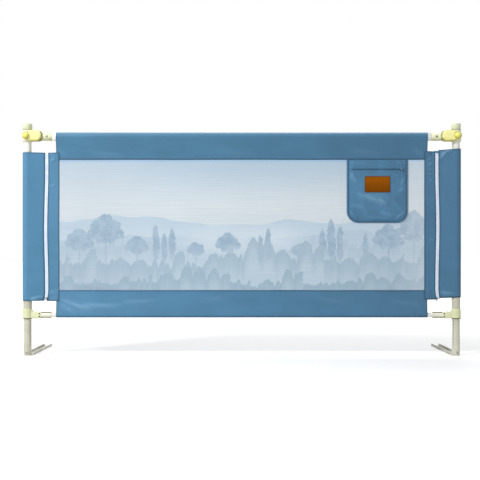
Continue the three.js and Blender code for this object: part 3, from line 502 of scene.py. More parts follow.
def woven(name, left, right, pitch=0.0009, sewn=True, gloss=0.48):
    """Plain-weave polyester. Its shade runs from left to right across the rail and is mottled. Painted shade
    darkens a groove along its sewn edges and the very edge; the painted light attribute adds more painted
    shade above zero and a painted highlight below it."""
    finish = Finish(name, Roughness=gloss, Specular_IOR_Level=0.36, Sheen_Weight=0.06, Sheen_Roughness=0.4)
    where = finish.place()
    base = finish.mixed(finish.parts(where)[0].step(-0.80, 0.75, kind="LINEAR"), left, right)
    cloudy = finish.grain(finish.stretched(where, 1, 1, 1.6), 7, 4, 0.55)
    flecks = finish.grain(finish.stretched(where, 1, 1, 3), 160, 3, 0.7)
    tone = flecks * 0.35 + cloudy * 0.65
    base = finish.blend(1.0, base, tone.step(0.34, 0.66, 0.92, 1.04), "MULTIPLY")
    across, along, _ = finish.parts(finish.place("UV"))
    height = across.waves(pitch) * along.waves(pitch) * 0.35 + flecks
    if sewn:
        edge, painted_light = finish.stored("edge"), finish.stored("painted_light")
        # The groove beside a seam is sunk in the relief and darkened with painted shade, as is the very edge
        groove = edge.step(0.0026, 0.0038) * edge.step(0.0042, 0.0060, 1.0, 0.0)
        shade = groove * 0.42 + edge.step(0.0, 0.0022, 1.0, 0.0) * 0.50
        # Painted highlight in a lighter blue where the painted light is below zero, painted shade where it is
        # above
        base = finish.layered(base, ((painted_light * -0.7).clamped(), (132, 176, 210)))
        base = finish.blend((shade + painted_light * 0.75).clamped(), base, dimmed(right, 0.22))
        pucker = finish.grain(where, 75) * edge.step(0.004, 0.016, 1.0, 0.0)
        height = height + (groove * -2.4 + pucker * 3.4)
    finish.end(base, height, 0.00035, 0.6)


def moulded(name, light, dark, roughness, grain=900, strength=0.12):
    """Injection-moulded plastic: a fine spark texture, slight clouding and a darker underside, which is
    painted shade.
    """
    finish = Finish(name, Roughness=roughness, Specular_IOR_Level=0.45)
    where = finish.place()
    # Painted shade: faces that look downwards are darker
    underside_shade = finish.parts(finish.surface("Normal"))[2].step(-0.9, 0.5, 1.0, 0.0)
    tone = (underside_shade * 0.55 + finish.grain(where, 22, 3) * 0.45).clamped()
    base = finish.mixed(tone.step(0.15, 0.85), light, dark)
    finish.end(base, finish.grain(where, grain, 2, 0.6), 0.00012, strength)


def painted(name, light, dark, roughness):
    """Powder-coated steel: orange-peel relief, faint clouding and worn edges."""
    finish = Finish(name, Roughness=roughness, Specular_IOR_Level=0.5, Coat_Weight=0.15)
    where = finish.place()
    cloudy = finish.grain(where, 14, 4, 0.55)
    rub = finish.surface("Pointiness").step(0.56, 0.68) * cloudy.step(0.5, 0.7)
    base = finish.mixed(cloudy.step(0.3, 0.7), light, dark)
    finish.end(finish.blend(rub, base, dimmed(dark, 0.72)), finish.grain(where, 620), 0.0002, 0.16)


def bare_metal(name, light, dark, roughness):
    finish = Finish(name, Roughness=roughness, Metallic=1.0)
    brushed = finish.grain(finish.stretched(finish.place(), 900, 60, 60), 1, 3, 0.6)
    finish.end(finish.mixed(brushed.step(0.3, 0.7), light, dark), brushed, 0.0001, 0.1)


def leather_finish(name):
    """Smooth dyed leather: fine grain, soft darkening to the edge, faint creases."""
    finish = Finish(name, Roughness=0.66, Specular_IOR_Level=0.05)
    where = finish.place()
    inputs = {"Vector": where, "Scale": 620}
    pores = finish.result("ShaderNodeTexVoronoi", inputs, "Distance", feature="DISTANCE_TO_EDGE")
    cloudy = finish.grain(finish.stretched(where, 1, 1, 1.5), 46, 4, 0.6)
    crease = finish.grain(finish.stretched(where, 30, 30, 110), 1, 4, 0.65)
    # Lighter towards the patch's top: painted light
    tone = finish.parts(where)[2].step(0.667, 0.732) * 0.6 + cloudy * 0.4
    base = finish.mixed(tone.step(0.1, 0.9), (120, 64, 0), (150, 82, 4))
    base = finish.layered(base, (finish.stored("edge").step(0.0, 0.0045, 0.75, 0.0), (82, 40, 6)))
    finish.end(base, crease * 0.6 + pores.step(0.0, 0.12), 0.0002, 0.4)


def zip_finish(name):
    """White polyester tape, finely ribbed, with a cool cast."""
    finish = Finish(name, Roughness=0.62, Sheen_Weight=0.1)
    where = finish.place()
    base = finish.mixed(finish.grain(where, 30, 3).step(0.3, 0.7), (234, 244, 255), (222, 234, 250))
    finish.end(base, finish.parts(where)[2].waves(0.0011), 0.0002, 0.35)


# Round-crowned trees of the print: x, foot z, height, width
TREES = metres(
    (-668, 372, 150, 118), (-560, 380, 205, 150), (-432, 372, 120, 96), (-190, 376, 90, 74),
    (-58, 374, 132, 104), (236, 372, 88, 74), (600, 372, 170, 130), (704, 380, 224, 136),
)
# Puffs that make a crown: sideways, up and radius, as shares of the tree's width and height
CROWN_SHARES = (
    (0.0, 0.84, 0.21), (-0.22, 0.72, 0.20), (0.23, 0.74, 0.19), (-0.34, 0.58, 0.16),
    (0.35, 0.56, 0.17), (0.02, 0.62, 0.22), (-0.12, 0.47, 0.15), (0.15, 0.46, 0.14),
)
# Poplars of the print: x, foot z, height, half width
POPLARS = metres(
    (-352, 372, 170, 15), (-318, 372, 128, 12.5), (-286, 372, 150, 14), (78, 370, 118, 12),
    (108, 370, 152, 14), (330, 372, 142, 14), (366, 372, 196, 17), (402, 372, 158, 14.5),
    (508, 370, 128, 13),
)
# Height over width of a crown's puffs and of a poplar
PUFF_TALL = 0.84
POPLAR_TALL = 5.0


def print_finish(name):
    """Knitted mesh with a pale printed landscape: sky, far hills, rows of woods, single trees and mist."""
    finish = Finish(name, Roughness=0.9, Sheen_Weight=0.05)
    where = finish.place()
    ragged = finish.grain(where, 95, 4, 0.7) - 0.5
    coarse = finish.grain(finish.stretched(where, 1, 1, 1, offset=(3.1, 0, 1.7)), 34, 4, 0.65)
    x, _, z = finish.parts(where)
    leafy_x = (coarse - 0.5) * 0.026 + x
    leafy_z = ragged * 0.040 + z
    along = finish.together(x)

    def ground(scale, middle, swing, offset):
        line = finish.grain(finish.stretched(along, 1, 1, 1, offset=(offset, 0, 0)), scale, 3)
        return line * swing + middle

    def misty(height, reach, least):
        """Strongest at the top of a row of woods and lost in mist below it."""
        depth = height - z
        return depth.step(-0.0018, 0.0018) * depth.step(0.0, reach, 1.0, least)

    def tree_tops(scale, tall, offset, sharp):
        inputs = {"W": leafy_x + offset, "Scale": scale, "Randomness": 0.9}
        cell = finish.result("ShaderNodeTexVoronoi", inputs, "Distance", voronoi_dimensions="1D")
        own = finish.parts(Value(finish, cell.socket.node.outputs["Color"]))[0]
        dome = (1.0 - (cell * 1.8) ** sharp).larger(0.0)
        return dome * (own ** 1.6 * 0.95 + 0.08) * tall

    def woods(scale, middle, swing, tall, offset, fine):
        """A row of tree tops on a hill: big and small crowns of uneven height with leafy edges."""
        big = tree_tops(scale, tall, offset, 2.2)
        small = tree_tops(scale * 2.6, tall * 0.50, offset + 1.7, 1.4)
        return ragged * fine + (ground(2.1, middle, swing, offset) + big.larger(small))

    sides = abs(x - 0.05).step(0.15, 0.75)
    base = finish.mixed(z.step(0.60, 0.80), (219, 226, 229), (182, 201, 216))
    base = finish.blend(z.step(0.40, 0.60), colour(198, 214, 224), base)
    mist = abs(z - 0.470).step(0.020, 0.085, 0.62, 0.0) * abs(x).step(0.10, 0.36, 1.0, 0.0)
    base = finish.layered(
        base,
        (sides * 0.35, (220, 226, 230)),
        (z.step(TOP_BAND_Z - 0.016, TOP_BAND_Z - 0.004, 0.0, 0.8), (158, 194, 226)),
        (misty(ground(1.9, 0.452, 0.19, 1.3), 0.130, 0.1), (194, 211, 224)),
        (misty(ground(2.7, 0.396, 0.18, 7.9), 0.120, 0.2), (188, 206, 220)),
        (misty(woods(21, 0.378, 0.130, 0.066, 2.7, 0.026), 0.075, 0.10), (182, 201, 215)),
        (mist, (222, 232, 238)),
    )

    leafy = {tall: finish.together(leafy_x, leafy_z * (1 / tall)) for tall in (PUFF_TALL, POPLAR_TALL)}

    def inside(middle_x, middle_z, radius, tall):
        """How far inside an upright leafy ellipse a place is."""
        ends = {0: leafy[tall], 1: (middle_x, 0, middle_z / tall)}
        return radius - finish.result("ShaderNodeVectorMath", ends, "Value", operation="DISTANCE")

    def any_of(shapes):
        total = shapes[0]
        for shape in shapes[1:]:
            total = total.larger(shape)
        return total

    crowns = [
        inside(tree_x + aside * width, foot + up * height, radius * width, PUFF_TALL)
        for tree_x, foot, height, width in TREES
        for aside, up, radius in CROWN_SHARES
    ]
    crowns += [inside(tree_x, foot + tall * 0.52, half, POPLAR_TALL) for tree_x, foot, tall, half in POPLARS]
    trunks = [
        (0.0022 + width * 0.010 - abs(x - (tree_x + 0.002))).smaller(foot + height * 0.75 - z)
        for tree_x, foot, height, width in TREES
    ]
    trees = any_of(crowns).step(-0.0006, 0.0012).larger(any_of(trunks).step(-0.0004, 0.0008))
    tint = finish.mixed(coarse.step(0.38, 0.62), (150, 174, 195), (168, 190, 207))
    base = finish.blend(trees * z.step(0.36, 0.47, 0.35, 1.0) * 0.94, base, tint)

    drift = finish.grain(finish.stretched(where, 3, 1, 26), 1, 3)
    streak = finish.number("SINE", drift * 5.0 + z * (2 * math.pi / 0.0074)) * drift.step(0.35, 0.7)
    threads = finish.grain(finish.stretched(where, 5, 1, 330), 1, 2, 0.6)
    knit = x.waves(0.0026) * z.waves(0.0026)
    eyelet = knit.step(0.35, 0.9)
    base = finish.layered(
        base,
        (misty(woods(14, 0.300, 0.140, 0.100, 5.3, 0.034), 0.120, 0.10), (168, 190, 205)),
        (misty(woods(17, 0.232, 0.110, 0.072, 9.1, 0.034), 0.090, 0.30), (160, 184, 199)),
        (sides * z.step(0.27, 0.50, 1.0, 0.0) * 0.30, (150, 172, 192)),
        (x.step(-0.68, -0.22, 0.15, 0.0), (150, 158, 166)),
        (x.step(0.62, 0.72, 0.0, 0.24), (226, 234, 238)),
        (streak.step(-1, 1, 0.26, 0.0, "LINEAR"), (142, 166, 186)),
        (threads.step(0.35, 0.65, 0.10, 0.0), (128, 154, 176)),
        (eyelet * 0.12, (96, 122, 146)),
        # Painted shade along the mesh's edges, next to the bands and borders
        (finish.stored("edge").step(0.006, 0.010, 0.34, 0.0), (92, 132, 168)),
    )
    finish.end(base, knit * 0.3 - eyelet, 0.0003, 0.5)


woven("blue_cloth", (80, 134, 169), (66, 112, 144))
# The blue cloth made darker for the top band: painted shade
woven("top_cloth_painted_shade", (72, 123, 154), (64, 110, 141))
woven("pocket_cloth", (78, 132, 168), (70, 118, 152), gloss=0.40)
woven("binding_cloth", (70, 118, 152), (54, 98, 130), sewn=False)
woven("sewing_thread", (72, 118, 150), (52, 92, 122), 0.0005, sewn=False)
woven("patch_thread", (96, 56, 16), (84, 48, 12), 0.0005, sewn=False)
woven("foam_skin", (250, 250, 248), (244, 245, 246), 0.002, sewn=False)
print_finish("printed_mesh")
zip_finish("zip_tape")
leather_finish("patch_leather")
painted("beige_paint", (210, 208, 190), (192, 189, 170), 0.42)
painted("channel_paint", (204, 202, 190), (182, 180, 167), 0.45)
painted("white_paint", (234, 234, 227), (222, 222, 213), 0.36)
bare_metal("slider_metal", (96, 100, 108), (52, 56, 62), 0.38)
bare_metal("zinc_steel", (176, 176, 172), (150, 150, 147), 0.3)
bare_metal("dark_steel", (132, 132, 122), (88, 88, 80), 0.42)
moulded("zip_coil", (236, 242, 250), (206, 218, 234), 0.4)
moulded("pull_enamel", (236, 242, 248), (196, 208, 222), 0.32)
moulded("blue_slider", (92, 128, 156), (58, 84, 108), 0.35)
moulded("pale_moulding", (238, 241, 210), (206, 208, 166), 0.48)
moulded("green_moulding", (228, 231, 192), (194, 197, 146), 0.46)
moulded("cream_moulding", (242, 242, 226), (220, 220, 196), 0.46)
# Dark olive for painted shade lines: on the lower connector's ribs and sleeve foot, and under the cap
moulded("painted_shade_line", (128, 121, 78), (90, 84, 52), 0.5)
# Dark olive for the flange behind the cover: painted shade in the gap round the cover's end
moulded("flange_painted_shade", (152, 147, 102), (116, 110, 72), 0.5)
# Darker orange for the cover ring's inner lip round the button: painted shade
moulded("ring_painted_shade", (214, 190, 84), (168, 142, 52), 0.4)
moulded("shadowed_moulding", (58, 54, 38), (36, 33, 24), 0.7)
moulded("cap_moulding", (226, 231, 204), (200, 205, 168), 0.5)
moulded("yellow_moulding", (255, 249, 176), (214, 206, 110), 0.42)
moulded("yellow_button", (250, 247, 138), (220, 213, 88), 0.26, 1500, 0.04)
moulded("nylon", (222, 222, 214), (196, 196, 188), 0.55)

# Pieces that only need a look; the rest are modelled again below
NODE_LOOKS = {"release_tab": "pale_moulding", "tube_bush": "nylon", "lock_plug": "nylon", "push_rod": "nylon"}
for side, _ in SIDES:
    for part, look in NODE_LOOKS.items():
        dressed(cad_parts[f"{side}_{part}"], look)
for part in ("top_rail_joiner", "lower_rail_joiner"):
    dressed(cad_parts[part], "zinc_steel")


# ------------------------------------------------------------------ posts, mouldings and rails
TUBE = 0.0158
TUBE_BORE = 0.0144
MIDDLE = 0.0175
MIDDLE_BORE = 0.0161
SOCKET = 0.0205
HOLE_PITCH = 0.012
POCKET_SLIDER_X = 0.653
RAIL_SCREW = (POST_X - 0.082, PLANE_Y, TOP_RAIL_Z)
ON_BUTTON = (POST_X, PLANE_Y, BUTTON_Z)


def tube(name, outer, inner, low, high, place=ON_POST, axis="Z"):
    return turned(name, wall_rings(outer, inner, low, high), place, axis)


def foot_post():
    """Foot tube with its row of adjusting holes on the side that faces the rail, and small sight holes
    beside them, towards the front."""

    def row(name, count, radius, near, top, sides):
        heights = [top - HOLE_PITCH * i for i in range(count)]
        return [pin(name, radius, near, 0.020, (POST_X, PLANE_Y, z), "-X", sides) for z in heights]

    piece = tube("post_foot", TUBE, TUBE_BORE, 0.0023, 0.220)
    screw_hole = pin("hole", 0.0023, 0.005, 0.020, (POST_X, PLANE_Y, 0.013), "-Y", 16)
    drilled(piece, *row("hole", 12, 0.0032, 0.005, 0.163, 20), screw_hole)
    sights = row("sight", 10, 0.0024, 0.0135, 0.151, 16)
    aside = math.radians(-37)
    for sight in sights:
        worked(sight, bpy.ops.transform.rotate, value=aside, orient_axis="Z", center_override=ON_POST)
    return cleaned(drilled(piece, *sights))


def upper_post():
    piece = tube("post_upper", TUBE, TUBE_BORE, 0.5625, 0.940)
    return cleaned(bored(piece, pin("hole", 0.0038, 0, 0.020, ON_BUTTON, "-Y", 20)))


def post_top():
    """Cap: a plain round moulding with a softly rounded crown."""
    rings = [(0.946, 0.0001), (0.946, 0.0161), (0.9232, 0.0161), (0.9232, 0.0186), (0.9240, 0.01925)]
    rings += arc(0.01925, 0.9458, 0.0030, 6)
    rings += [(0.9494, 0.0120), (0.9499, 0.0060), (0.95, 0.0001)]
    return cleaned(turned("post_top", rings, ON_POST, sides=56), 55)


def lower_bracket():
    """Lower connector: sleeve with a stepped rim, arm with a filleted root, and the lower rail's collar."""
    x, y, z = rail = (POST_X, PLANE_Y, LOWER_RAIL_Z)
    foot = [(0.150, 0.0100), (0.150, 0.0192), *arc(0.0200, 0.1512, 0.0012, 3, -1)[::-1], (0.1534, 0.0200)]
    rim = [(0.1840, 0.0200), (0.1848, 0.0190), (0.1902, 0.0190), (0.1910, 0.0182), (0.1910, 0.0100)]
    sleeve = turned("lower_bracket", [*foot, *rim], ON_POST)
    arm = bar("arm", (x - 0.057, y - 0.012, 0.151), (x - 0.009, y + 0.012, 0.176), 0.0022, 4)
    root = bar("root", (x - 0.028, y - 0.0112, 0.170), (x - 0.009, y + 0.0112, 0.184))
    bored(root, pin("fillet", 0.008, -0.02, 0.02, (x - 0.028, y, 0.184), "-Y", 48))
    collar = [(0.052, 0.006), (0.052, 0.0116), (0.0968, 0.0116), (0.098, 0.0106), (0.098, 0.006)]
    lip = [(0.0945, 0.0100), (0.0948, 0.0122), (0.0972, 0.0122), (0.0975, 0.0100)]
    collars = [turned("collar", rings, rail, "-X") for rings in (collar, lip)]
    nub = pin("nub", 0.002, 0.152, 0.160, (x - 0.091, y, 0), "Z", 16)
    # Two thin ribs along the top and bottom of the collar, which carry painted shade lines
    ribs = [
        bar("rib", (x - 0.0974, y - 0.0095, z + low), (x - 0.0550, y + 0.0095, z + low + 0.0018), 0.0005)
        for low in (-0.0117, 0.0099)
    ]
    joined(sleeve, arm, root, *collars, nub, *ribs)
    windows = [
        bar("window", (x - 0.0530, y - 0.014, z + up - 0.0027), (x - 0.0476, y - 0.0085, z + up + 0.0027))
        for up in (-0.0058, 0.0058)
    ]
    bored(
        sleeve,
        pin("bore", 0.0178, 0.1525, 0.200, ON_POST),
        pin("bore", MIDDLE_BORE, 0.140, 0.160, ON_POST),
        pin("bore", 0.0101, 0.054, 0.110, rail, "-X"),
        bar("slot", (x - 0.0448, y - 0.0043, 0.165), (x - 0.0302, y + 0.0043, 0.190)),
        bar("seam", (x - 0.101, y - 0.0122, 0.1647), (x - 0.066, y - 0.0106, 0.1653)),
        *windows,
    )
    return rounded(sleeve, 0.0004)


def top_bracket():
    """Top connector: socket, arm and the top rail's collar with its oval screw recess."""
    x, y, z = rail = (POST_X, PLANE_Y, TOP_RAIL_Z)
    foot, head = arc(SOCKET, 0.878, 0.004, 6, -1)[::-1], arc(SOCKET, 0.921, 0.001, 3)
    socket = turned("top_bracket", [(0.874, 0.010), *foot, *head, (0.922, 0.010)], ON_POST, sides=64)
    at_end = lambda corner: corner.x < x - 0.05
    arm = bar("arm", (x - 0.0575, y - 0.015, 0.878), (x - 0.0075, y + 0.015, 0.918))
    bevelled(arm, 0.011, 6, running("Y", 0.02, at_end))
    collar = [(0.050, 0.008), (0.050, 0.0165), (0.0994, 0.0165), (0.1, 0.0160), (0.1, 0.008)]
    lip = [(0.090, 0.008), (0.090, 0.0155), (0.1025, 0.0155), (0.103, 0.0150), (0.103, 0.008)]
    collars = [turned("collar", rings, rail, "-X") for rings in (collar, lip)]
    # A flange that shows just round the cover's lower end; its dark colour is painted shade for the gap there
    flange = bar("flange", (x - 0.0632, y - 0.0172, 0.8738), (x - 0.020, y - 0.0135, 0.9175))
    bevelled(flange, 0.013, 7, running("Y", 0.002, at_end))
    joined(socket, arm, *collars, flange)
    recess = pin("recess", 0.0045, 0.0153, 0.030, RAIL_SCREW, "-Y", 32)
    for side in (-1, 1):
        half = lambda corner: (corner.co.x - RAIL_SCREW[0]) * side > 0.0001
        worked(recess, bpy.ops.transform.translate, "VERT", half, value=(side * 0.002, 0, 0))
    bored(
        socket,
        pin("bore", MIDDLE_BORE, 0.860, 0.930, ON_POST),
        pin("bore", 0.0130, 0.043, 0.110, rail, "-X"),
        pin("bore", 0.0038, 0.005, 0.030, ON_BUTTON, "-Y", 24),
        pin("face", 0.0120, 0.0195, 0.030, ON_BUTTON, "-Y", 48),
        recess,
        pin("bore", 0.0021, 0.005, 0.030, RAIL_SCREW, "-Y", 16),
        bar("seam", (x - 0.0935, y - 0.02, z - 0.02), (x - 0.0929, y - 0.0158, z + 0.02)),
    )
    return rounded(socket, 0.0004)


def front_cover():
    """Cover over the arm: a crowned plate with a cut-off end, running into a ring round the button."""
    x, y, z = ON_BUTTON
    plate = bar("front_cover", (x - 0.060, y - 0.032, z - 0.0225), (x - 0.010, y - 0.0153, z + 0.0225))
    bevelled(plate, 0.0125, 1, running("Y", 0.01, lambda corner: corner.x < x - 0.055))
    bevelled(plate, 0.004, 4, running("Y", 0.01, lambda corner: corner.x < x - 0.02))

    def on_front(line):
        ends = [corner.co for corner in line.verts]
        return all(end.y < y - 0.031 for end in ends) and any(end.x < x - 0.011 for end in ends)

    bevelled(plate, 0.0075, 6, on_front)
    ring = [(0.0153, 0.010), (0.0153, 0.018), *arc(0.018, 0.0280, 0.0035, 6), (0.0315, 0.010)]
    joined(plate, turned("ring", ring, ON_BUTTON, "-Y", 64))
    bored(
        plate,
        pin("room", 0.0208, 0.860, 0.935, ON_POST, "Z", 64),
        pin("bore", 0.0133, 0.010, 0.040, ON_BUTTON, "-Y", 64),
        pin("hollow", 0.0155, 0.010, 0.0295, ON_BUTTON, "-Y", 64),
    )
    return rounded(plate, 0.0004, 2, 35)


def round_button():
    """Push button: a domed cap with a flange behind the cover."""
    rings = [(0.0160, 0.0035), (0.0272, 0.0035), (0.0272, 0.0145), (0.0292, 0.0145), (0.0292, 0.0119)]
    rings.append((0.0385, 0.0119))
    for turn in range(10, 100, 10):
        angle = math.radians(turn)
        rings.append((0.0385 + 0.0085 * math.sin(angle), max(0.0001, 0.0119 * math.cos(angle))))
    return cleaned(turned("round_button", rings, ON_BUTTON, "-Y", 56), 50)


def channel_foot():
    """Foot channel: a folded U with its flanges up, tapered at the far end, and a tang up into the post."""
    x, y, half = POST_X - 0.008, PLANE_Y, 0.0175
    far = y + 0.3622
    piece = bar("channel_foot", (x - half, y - 0.0158, 0), (x + half, far, 0.011))
    bevelled(piece, 0.002, 4, running("Y", 0.1, lambda corner: corner.z < 0.001))
    tip = bar("tip", (x - 0.1, far - 0.0098, 0.002), (x + 0.1, far + 0.01, 0.013))
    low_end = lambda corner: corner.co.z < 0.003 and corner.co.y < far
    worked(tip, bpy.ops.transform.translate, "VERT", low_end, value=(0, 0.0098, 0))
    bored(
        piece,
        bar("trough", (x - half + 0.002, y - 0.1, 0.002), (x + half - 0.002, y + 0.5, 0.05)),
        bar("front", (x - 0.1, y - 0.1, 0.002), (x + 0.1, y + 0.0161, 0.05)),
        tip,
    )
    tang = bar("tang", (POST_X - 0.0085, y - 0.0106, 0.001), (POST_X + 0.0085, y - 0.0086, 0.040), 0.0008)
    return rounded(joined(piece, tang), 0.0004)


def cross_screw(name, head, rise, seat, place):
    """A pan-head screw with a cross recess, seen from the front."""
    rings = [(seat - 0.008, 0.0017), (seat, 0.0017), (seat, head), (seat + rise * 0.35, head)]
    for turn in (0.4, 0.8, 1.2, 1.57):
        rings.append((seat + rise * (0.35 + 0.65 * math.sin(turn)), head * (0.45 + 0.55 * math.cos(turn))))
    rings.append((seat + rise, 0.0001))
    piece = turned(name, rings, place, "-Y", 32)
    x, y, z = place
    front = y - seat - rise
    for wide, tall in ((0.62, 0.14), (0.14, 0.62)):
        low = (x - head * wide, front - 0.001, z - head * tall)
        bored(piece, bar("slot", low, (x + head * wide, front + 0.0009, z + head * tall)))
    return rounded(piece, 0.00008, 1, 35)


def slider_body(name, x, y, z):
    """Zip slider: a tapered shield with flanges, and two ears that hold the pull's pin."""
    piece = bar(name, (x - 0.005, y - 0.003, z), (x + 0.005, y, z + 0.013))
    low_end = lambda corner: corner.co.z < z + 0.001
    worked(piece, bpy.ops.transform.resize, "VERT", low_end, value=(0.6, 1, 1), center_override=(x, y, z))
    middle = z + 0.0065
    ears = [
        bar("ear", (x + a, y - 0.007, middle - 0.002), (x + a + 0.0014, y - 0.0015, middle + 0.002), 0.0006)
        for a in (-0.0037, 0.0023)
    ]
    joined(piece, *ears, pin("cross", 0.0007, -0.003, 0.003, (x, y - 0.0054, middle), "X", 16))
    bored(piece, bar("groove", (x - 0.0016, y - 0.004, z - 0.001), (x + 0.0016, y - 0.0024, z + 0.004)))
    return rounded(piece, 0.0004)


def pull_tab(name, x, y, z):
    """Zip pull: an eye round the pin, a narrow neck and a rounded tab with a slot."""
    piece = bar(name, (x - 0.002, y - 0.0005, z - 0.0200), (x + 0.002, y + 0.0005, z - 0.001))
    bevelled(piece, 0.0017, 5, running("Y", 0.0005, lambda corner: corner.z < z - 0.019))
    joined(piece, pin("eye", 0.0021, -0.002, 0.002, (x, y, z), "X", 24))
    hole = pin("hole", 0.0011, -0.01, 0.01, (x, y, z), "X", 20)
    slot = bar("slot", (x - 0.0009, y - 0.01, z - 0.0175), (x + 0.0009, y + 0.01, z - 0.0085), 0.0008, 3, "Y")
    return rounded(bored(piece, hole, slot), 0.00025)


def fitted(piece, look, body, node):
    """Dresses a new piece, puts it on its body and hides the node that it stands for."""
    dressed(piece, look)
    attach(piece, body)
    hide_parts(node)
    return piece


def mirrored(piece, name):
    """A copy of a right-hand piece for the left end."""
    copy = piece.copy()
    copy.data = piece.data.copy()
    scene.collection.objects.link(copy)
    copy.name = copy.data.name = name
    copy.scale.x = -1
    worked(applied(copy), bpy.ops.mesh.normals_make_consistent, inside=False)
    return copy


def both_ends(piece, look, body, node):
    """A right-hand piece and its mirror image at the left end."""
    label = piece.name
    piece.name = piece.data.name = f"right_{label}"
    fitted(piece, look, body.format("right"), f"right_{node}")
    twin = mirrored(piece, f"left_{label}")
    return piece, fitted(twin, look, body.format("left"), f"left_{node}")


def two_tone(pieces, look, test):
    """Gives a further look to the faces that pass the test. It gets how far a face's middle lies inwards
    from the post and forwards from the rail's plane, and its height."""
    for piece in pieces:
        piece.data.materials.append(looks[look])
        for face in piece.data.polygons:
            x, y, z = face.center
            if test(POST_X - abs(x), PLANE_Y - y, z):
                face.material_index = len(piece.data.materials) - 1


# Faces that get a painted shade line: the sleeve's lower rim, standing for the shade on the tube beneath, and
# the collar's ribs
def on_painted_shade_line(inward, ahead, z):
    return z < 0.1533 or inward > 0.0572 and abs(z - LOWER_RAIL_Z) > 0.0094


def in_window(inward, ahead, z):
    return 0.0474 < inward < 0.0532 and 0.0080 < ahead < 0.0117 and abs(z - LOWER_RAIL_Z) < 0.0088


# Faces of the flange, which get painted shade
def on_flange(inward, ahead, z):
    return 0.024 < inward < 0.0634 and 0.0132 < ahead < 0.0174


def on_ring(inward, ahead, z):
    return math.hypot(inward, z - BUTTON_Z) < 0.0152 and ahead > 0.022


both_ends(channel_foot(), "channel_paint", "{}_foot", "foot_channel")
both_ends(foot_post(), "beige_paint", "{}_foot", "foot_tube")
foot_head = cross_screw("foot_screw_head", 0.004, 0.0022, 0.0161, (POST_X, PLANE_Y, 0.013))
both_ends(foot_head, "zinc_steel", "{}_foot", "foot_screw")
middle_post = cleaned(tube("post_middle", MIDDLE, MIDDLE_BORE, 0.1528, 0.6625))
both_ends(middle_post, "beige_paint", "frame", "middle_tube")
ends = both_ends(lower_bracket(), "green_moulding", "frame", "lower_connector")
two_tone(ends, "cream_moulding", lambda inward, ahead, z: inward > 0.0575)
# Painted shade lines on the ribs and the sleeve's lower rim
two_tone(ends, "painted_shade_line", on_painted_shade_line)
two_tone(ends, "shadowed_moulding", in_window)
both_ends(upper_post(), "white_paint", "lift", "upper_tube")
ends = both_ends(top_bracket(), "pale_moulding", "lift", "top_connector")
# Painted shade on the flange
two_tone(ends, "flange_painted_shade", on_flange)
ends = both_ends(front_cover(), "yellow_moulding", "lift", "top_cover")
two_tone(ends, "pale_moulding", lambda inward, ahead, z: inward < 0.0125)
# Painted shade on the ring's inner lip round the button
two_tone(ends, "ring_painted_shade", on_ring)
both_ends(round_button(), "yellow_button", "{}_button", "push_button")
ends = both_ends(post_top(), "cap_moulding", "lift", "post_cap")
# Painted shade line round the cap's lower edge
two_tone(ends, "painted_shade_line", lambda inward, ahead, z: z < 0.9241)
rail_head = cross_screw("rail_screw_head", 0.0035, 0.0018, 0.0155, RAIL_SCREW)
both_ends(rail_head, "dark_steel", "lift", "rail_screw")
for level, outer, inner, end, z, body in (
    ("top", 0.0127, 0.0115, 0.8347, TOP_RAIL_Z, "lift"),
    ("lower", 0.0098, 0.0086, 0.8237, LOWER_RAIL_Z, "frame"),
):
    half = cleaned(tube(f"{level}_rail_half", outer, inner, 0.00015, end, (0, PLANE_Y, z), "X"))
    both_ends(half, "white_paint", body, f"{level}_rail")
foam_rings = [(-0.7747, 0.0131), (-0.7747, 0.0155), (-0.7735, 0.0165)]
foam_rings += [(0.7735, 0.0165), (0.7747, 0.0155), (0.7747, 0.0131), (-0.7747, 0.0131)]
foam = cleaned(turned("rail_foam", foam_rings, (0, PLANE_Y, TOP_RAIL_Z), "X"), 50)
fitted(foam, "foam_skin", "lift", "foam_sleeve")


def sprung(side, part):
    """A dressed copy of one of the hidden springs, which takes its place. The real spring gives when the
    piece that it holds out is pressed; the copy keeps its shape.
    """
    piece = bpy.data.objects.new(f"{side}_sprung_{part}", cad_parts[f"{side}_{part}"].data.copy())
    scene.collection.objects.link(piece)
    dressed(cleaned(piece, 35), "zinc_steel")
    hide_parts(f"{side}_{part}")
    return piece


for side, sign in SIDES:
    # The button presses the coil spring against its seat in the bracket
    coil_spring = sprung(side, "button_spring")
    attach(coil_spring, "lift")
    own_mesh(coil_spring)
    # The rod's slope draws the clip's outer leg in, with its nub
    clip = sprung(side, "lock_clip")
    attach(clip, "lift")
    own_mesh(clip)
    # The tab draws the latch's nub back, and its slanting strip gives
    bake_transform(sprung(side, "latch_spring"))
side_slider = slider_body("slider", ZIP_X, PLANE_Y - 0.0021, 0.223)
both_ends(side_slider, "slider_metal", "{}_side_zip", "zip_slider")
side_pull = pull_tab("pull", ZIP_X, PLANE_Y - 0.0075, 0.2295)
both_ends(side_pull, "pull_enamel", "{}_side_pull", "zip_pull")
pocket_slider = slider_body("pocket_zip_slider", POCKET_SLIDER_X, PLANE_Y - 0.0104, 0.7542)
fitted(pocket_slider, "blue_slider", "pocket_zip", "pocket_slider")
pocket_pull = pull_tab("pocket_zip_tab", POCKET_SLIDER_X, PLANE_Y - 0.0158, 0.7607)
fitted(pocket_pull, "blue_slider", "pocket_zip_pull", "pocket_pull")


# ------------------------------------------------------------------ seams
STITCH_PITCH = 0.0034
STEP = 0.006
# How far up a band from its hem its stitches run, as a share of its length
HEM_SHARE = 0.016


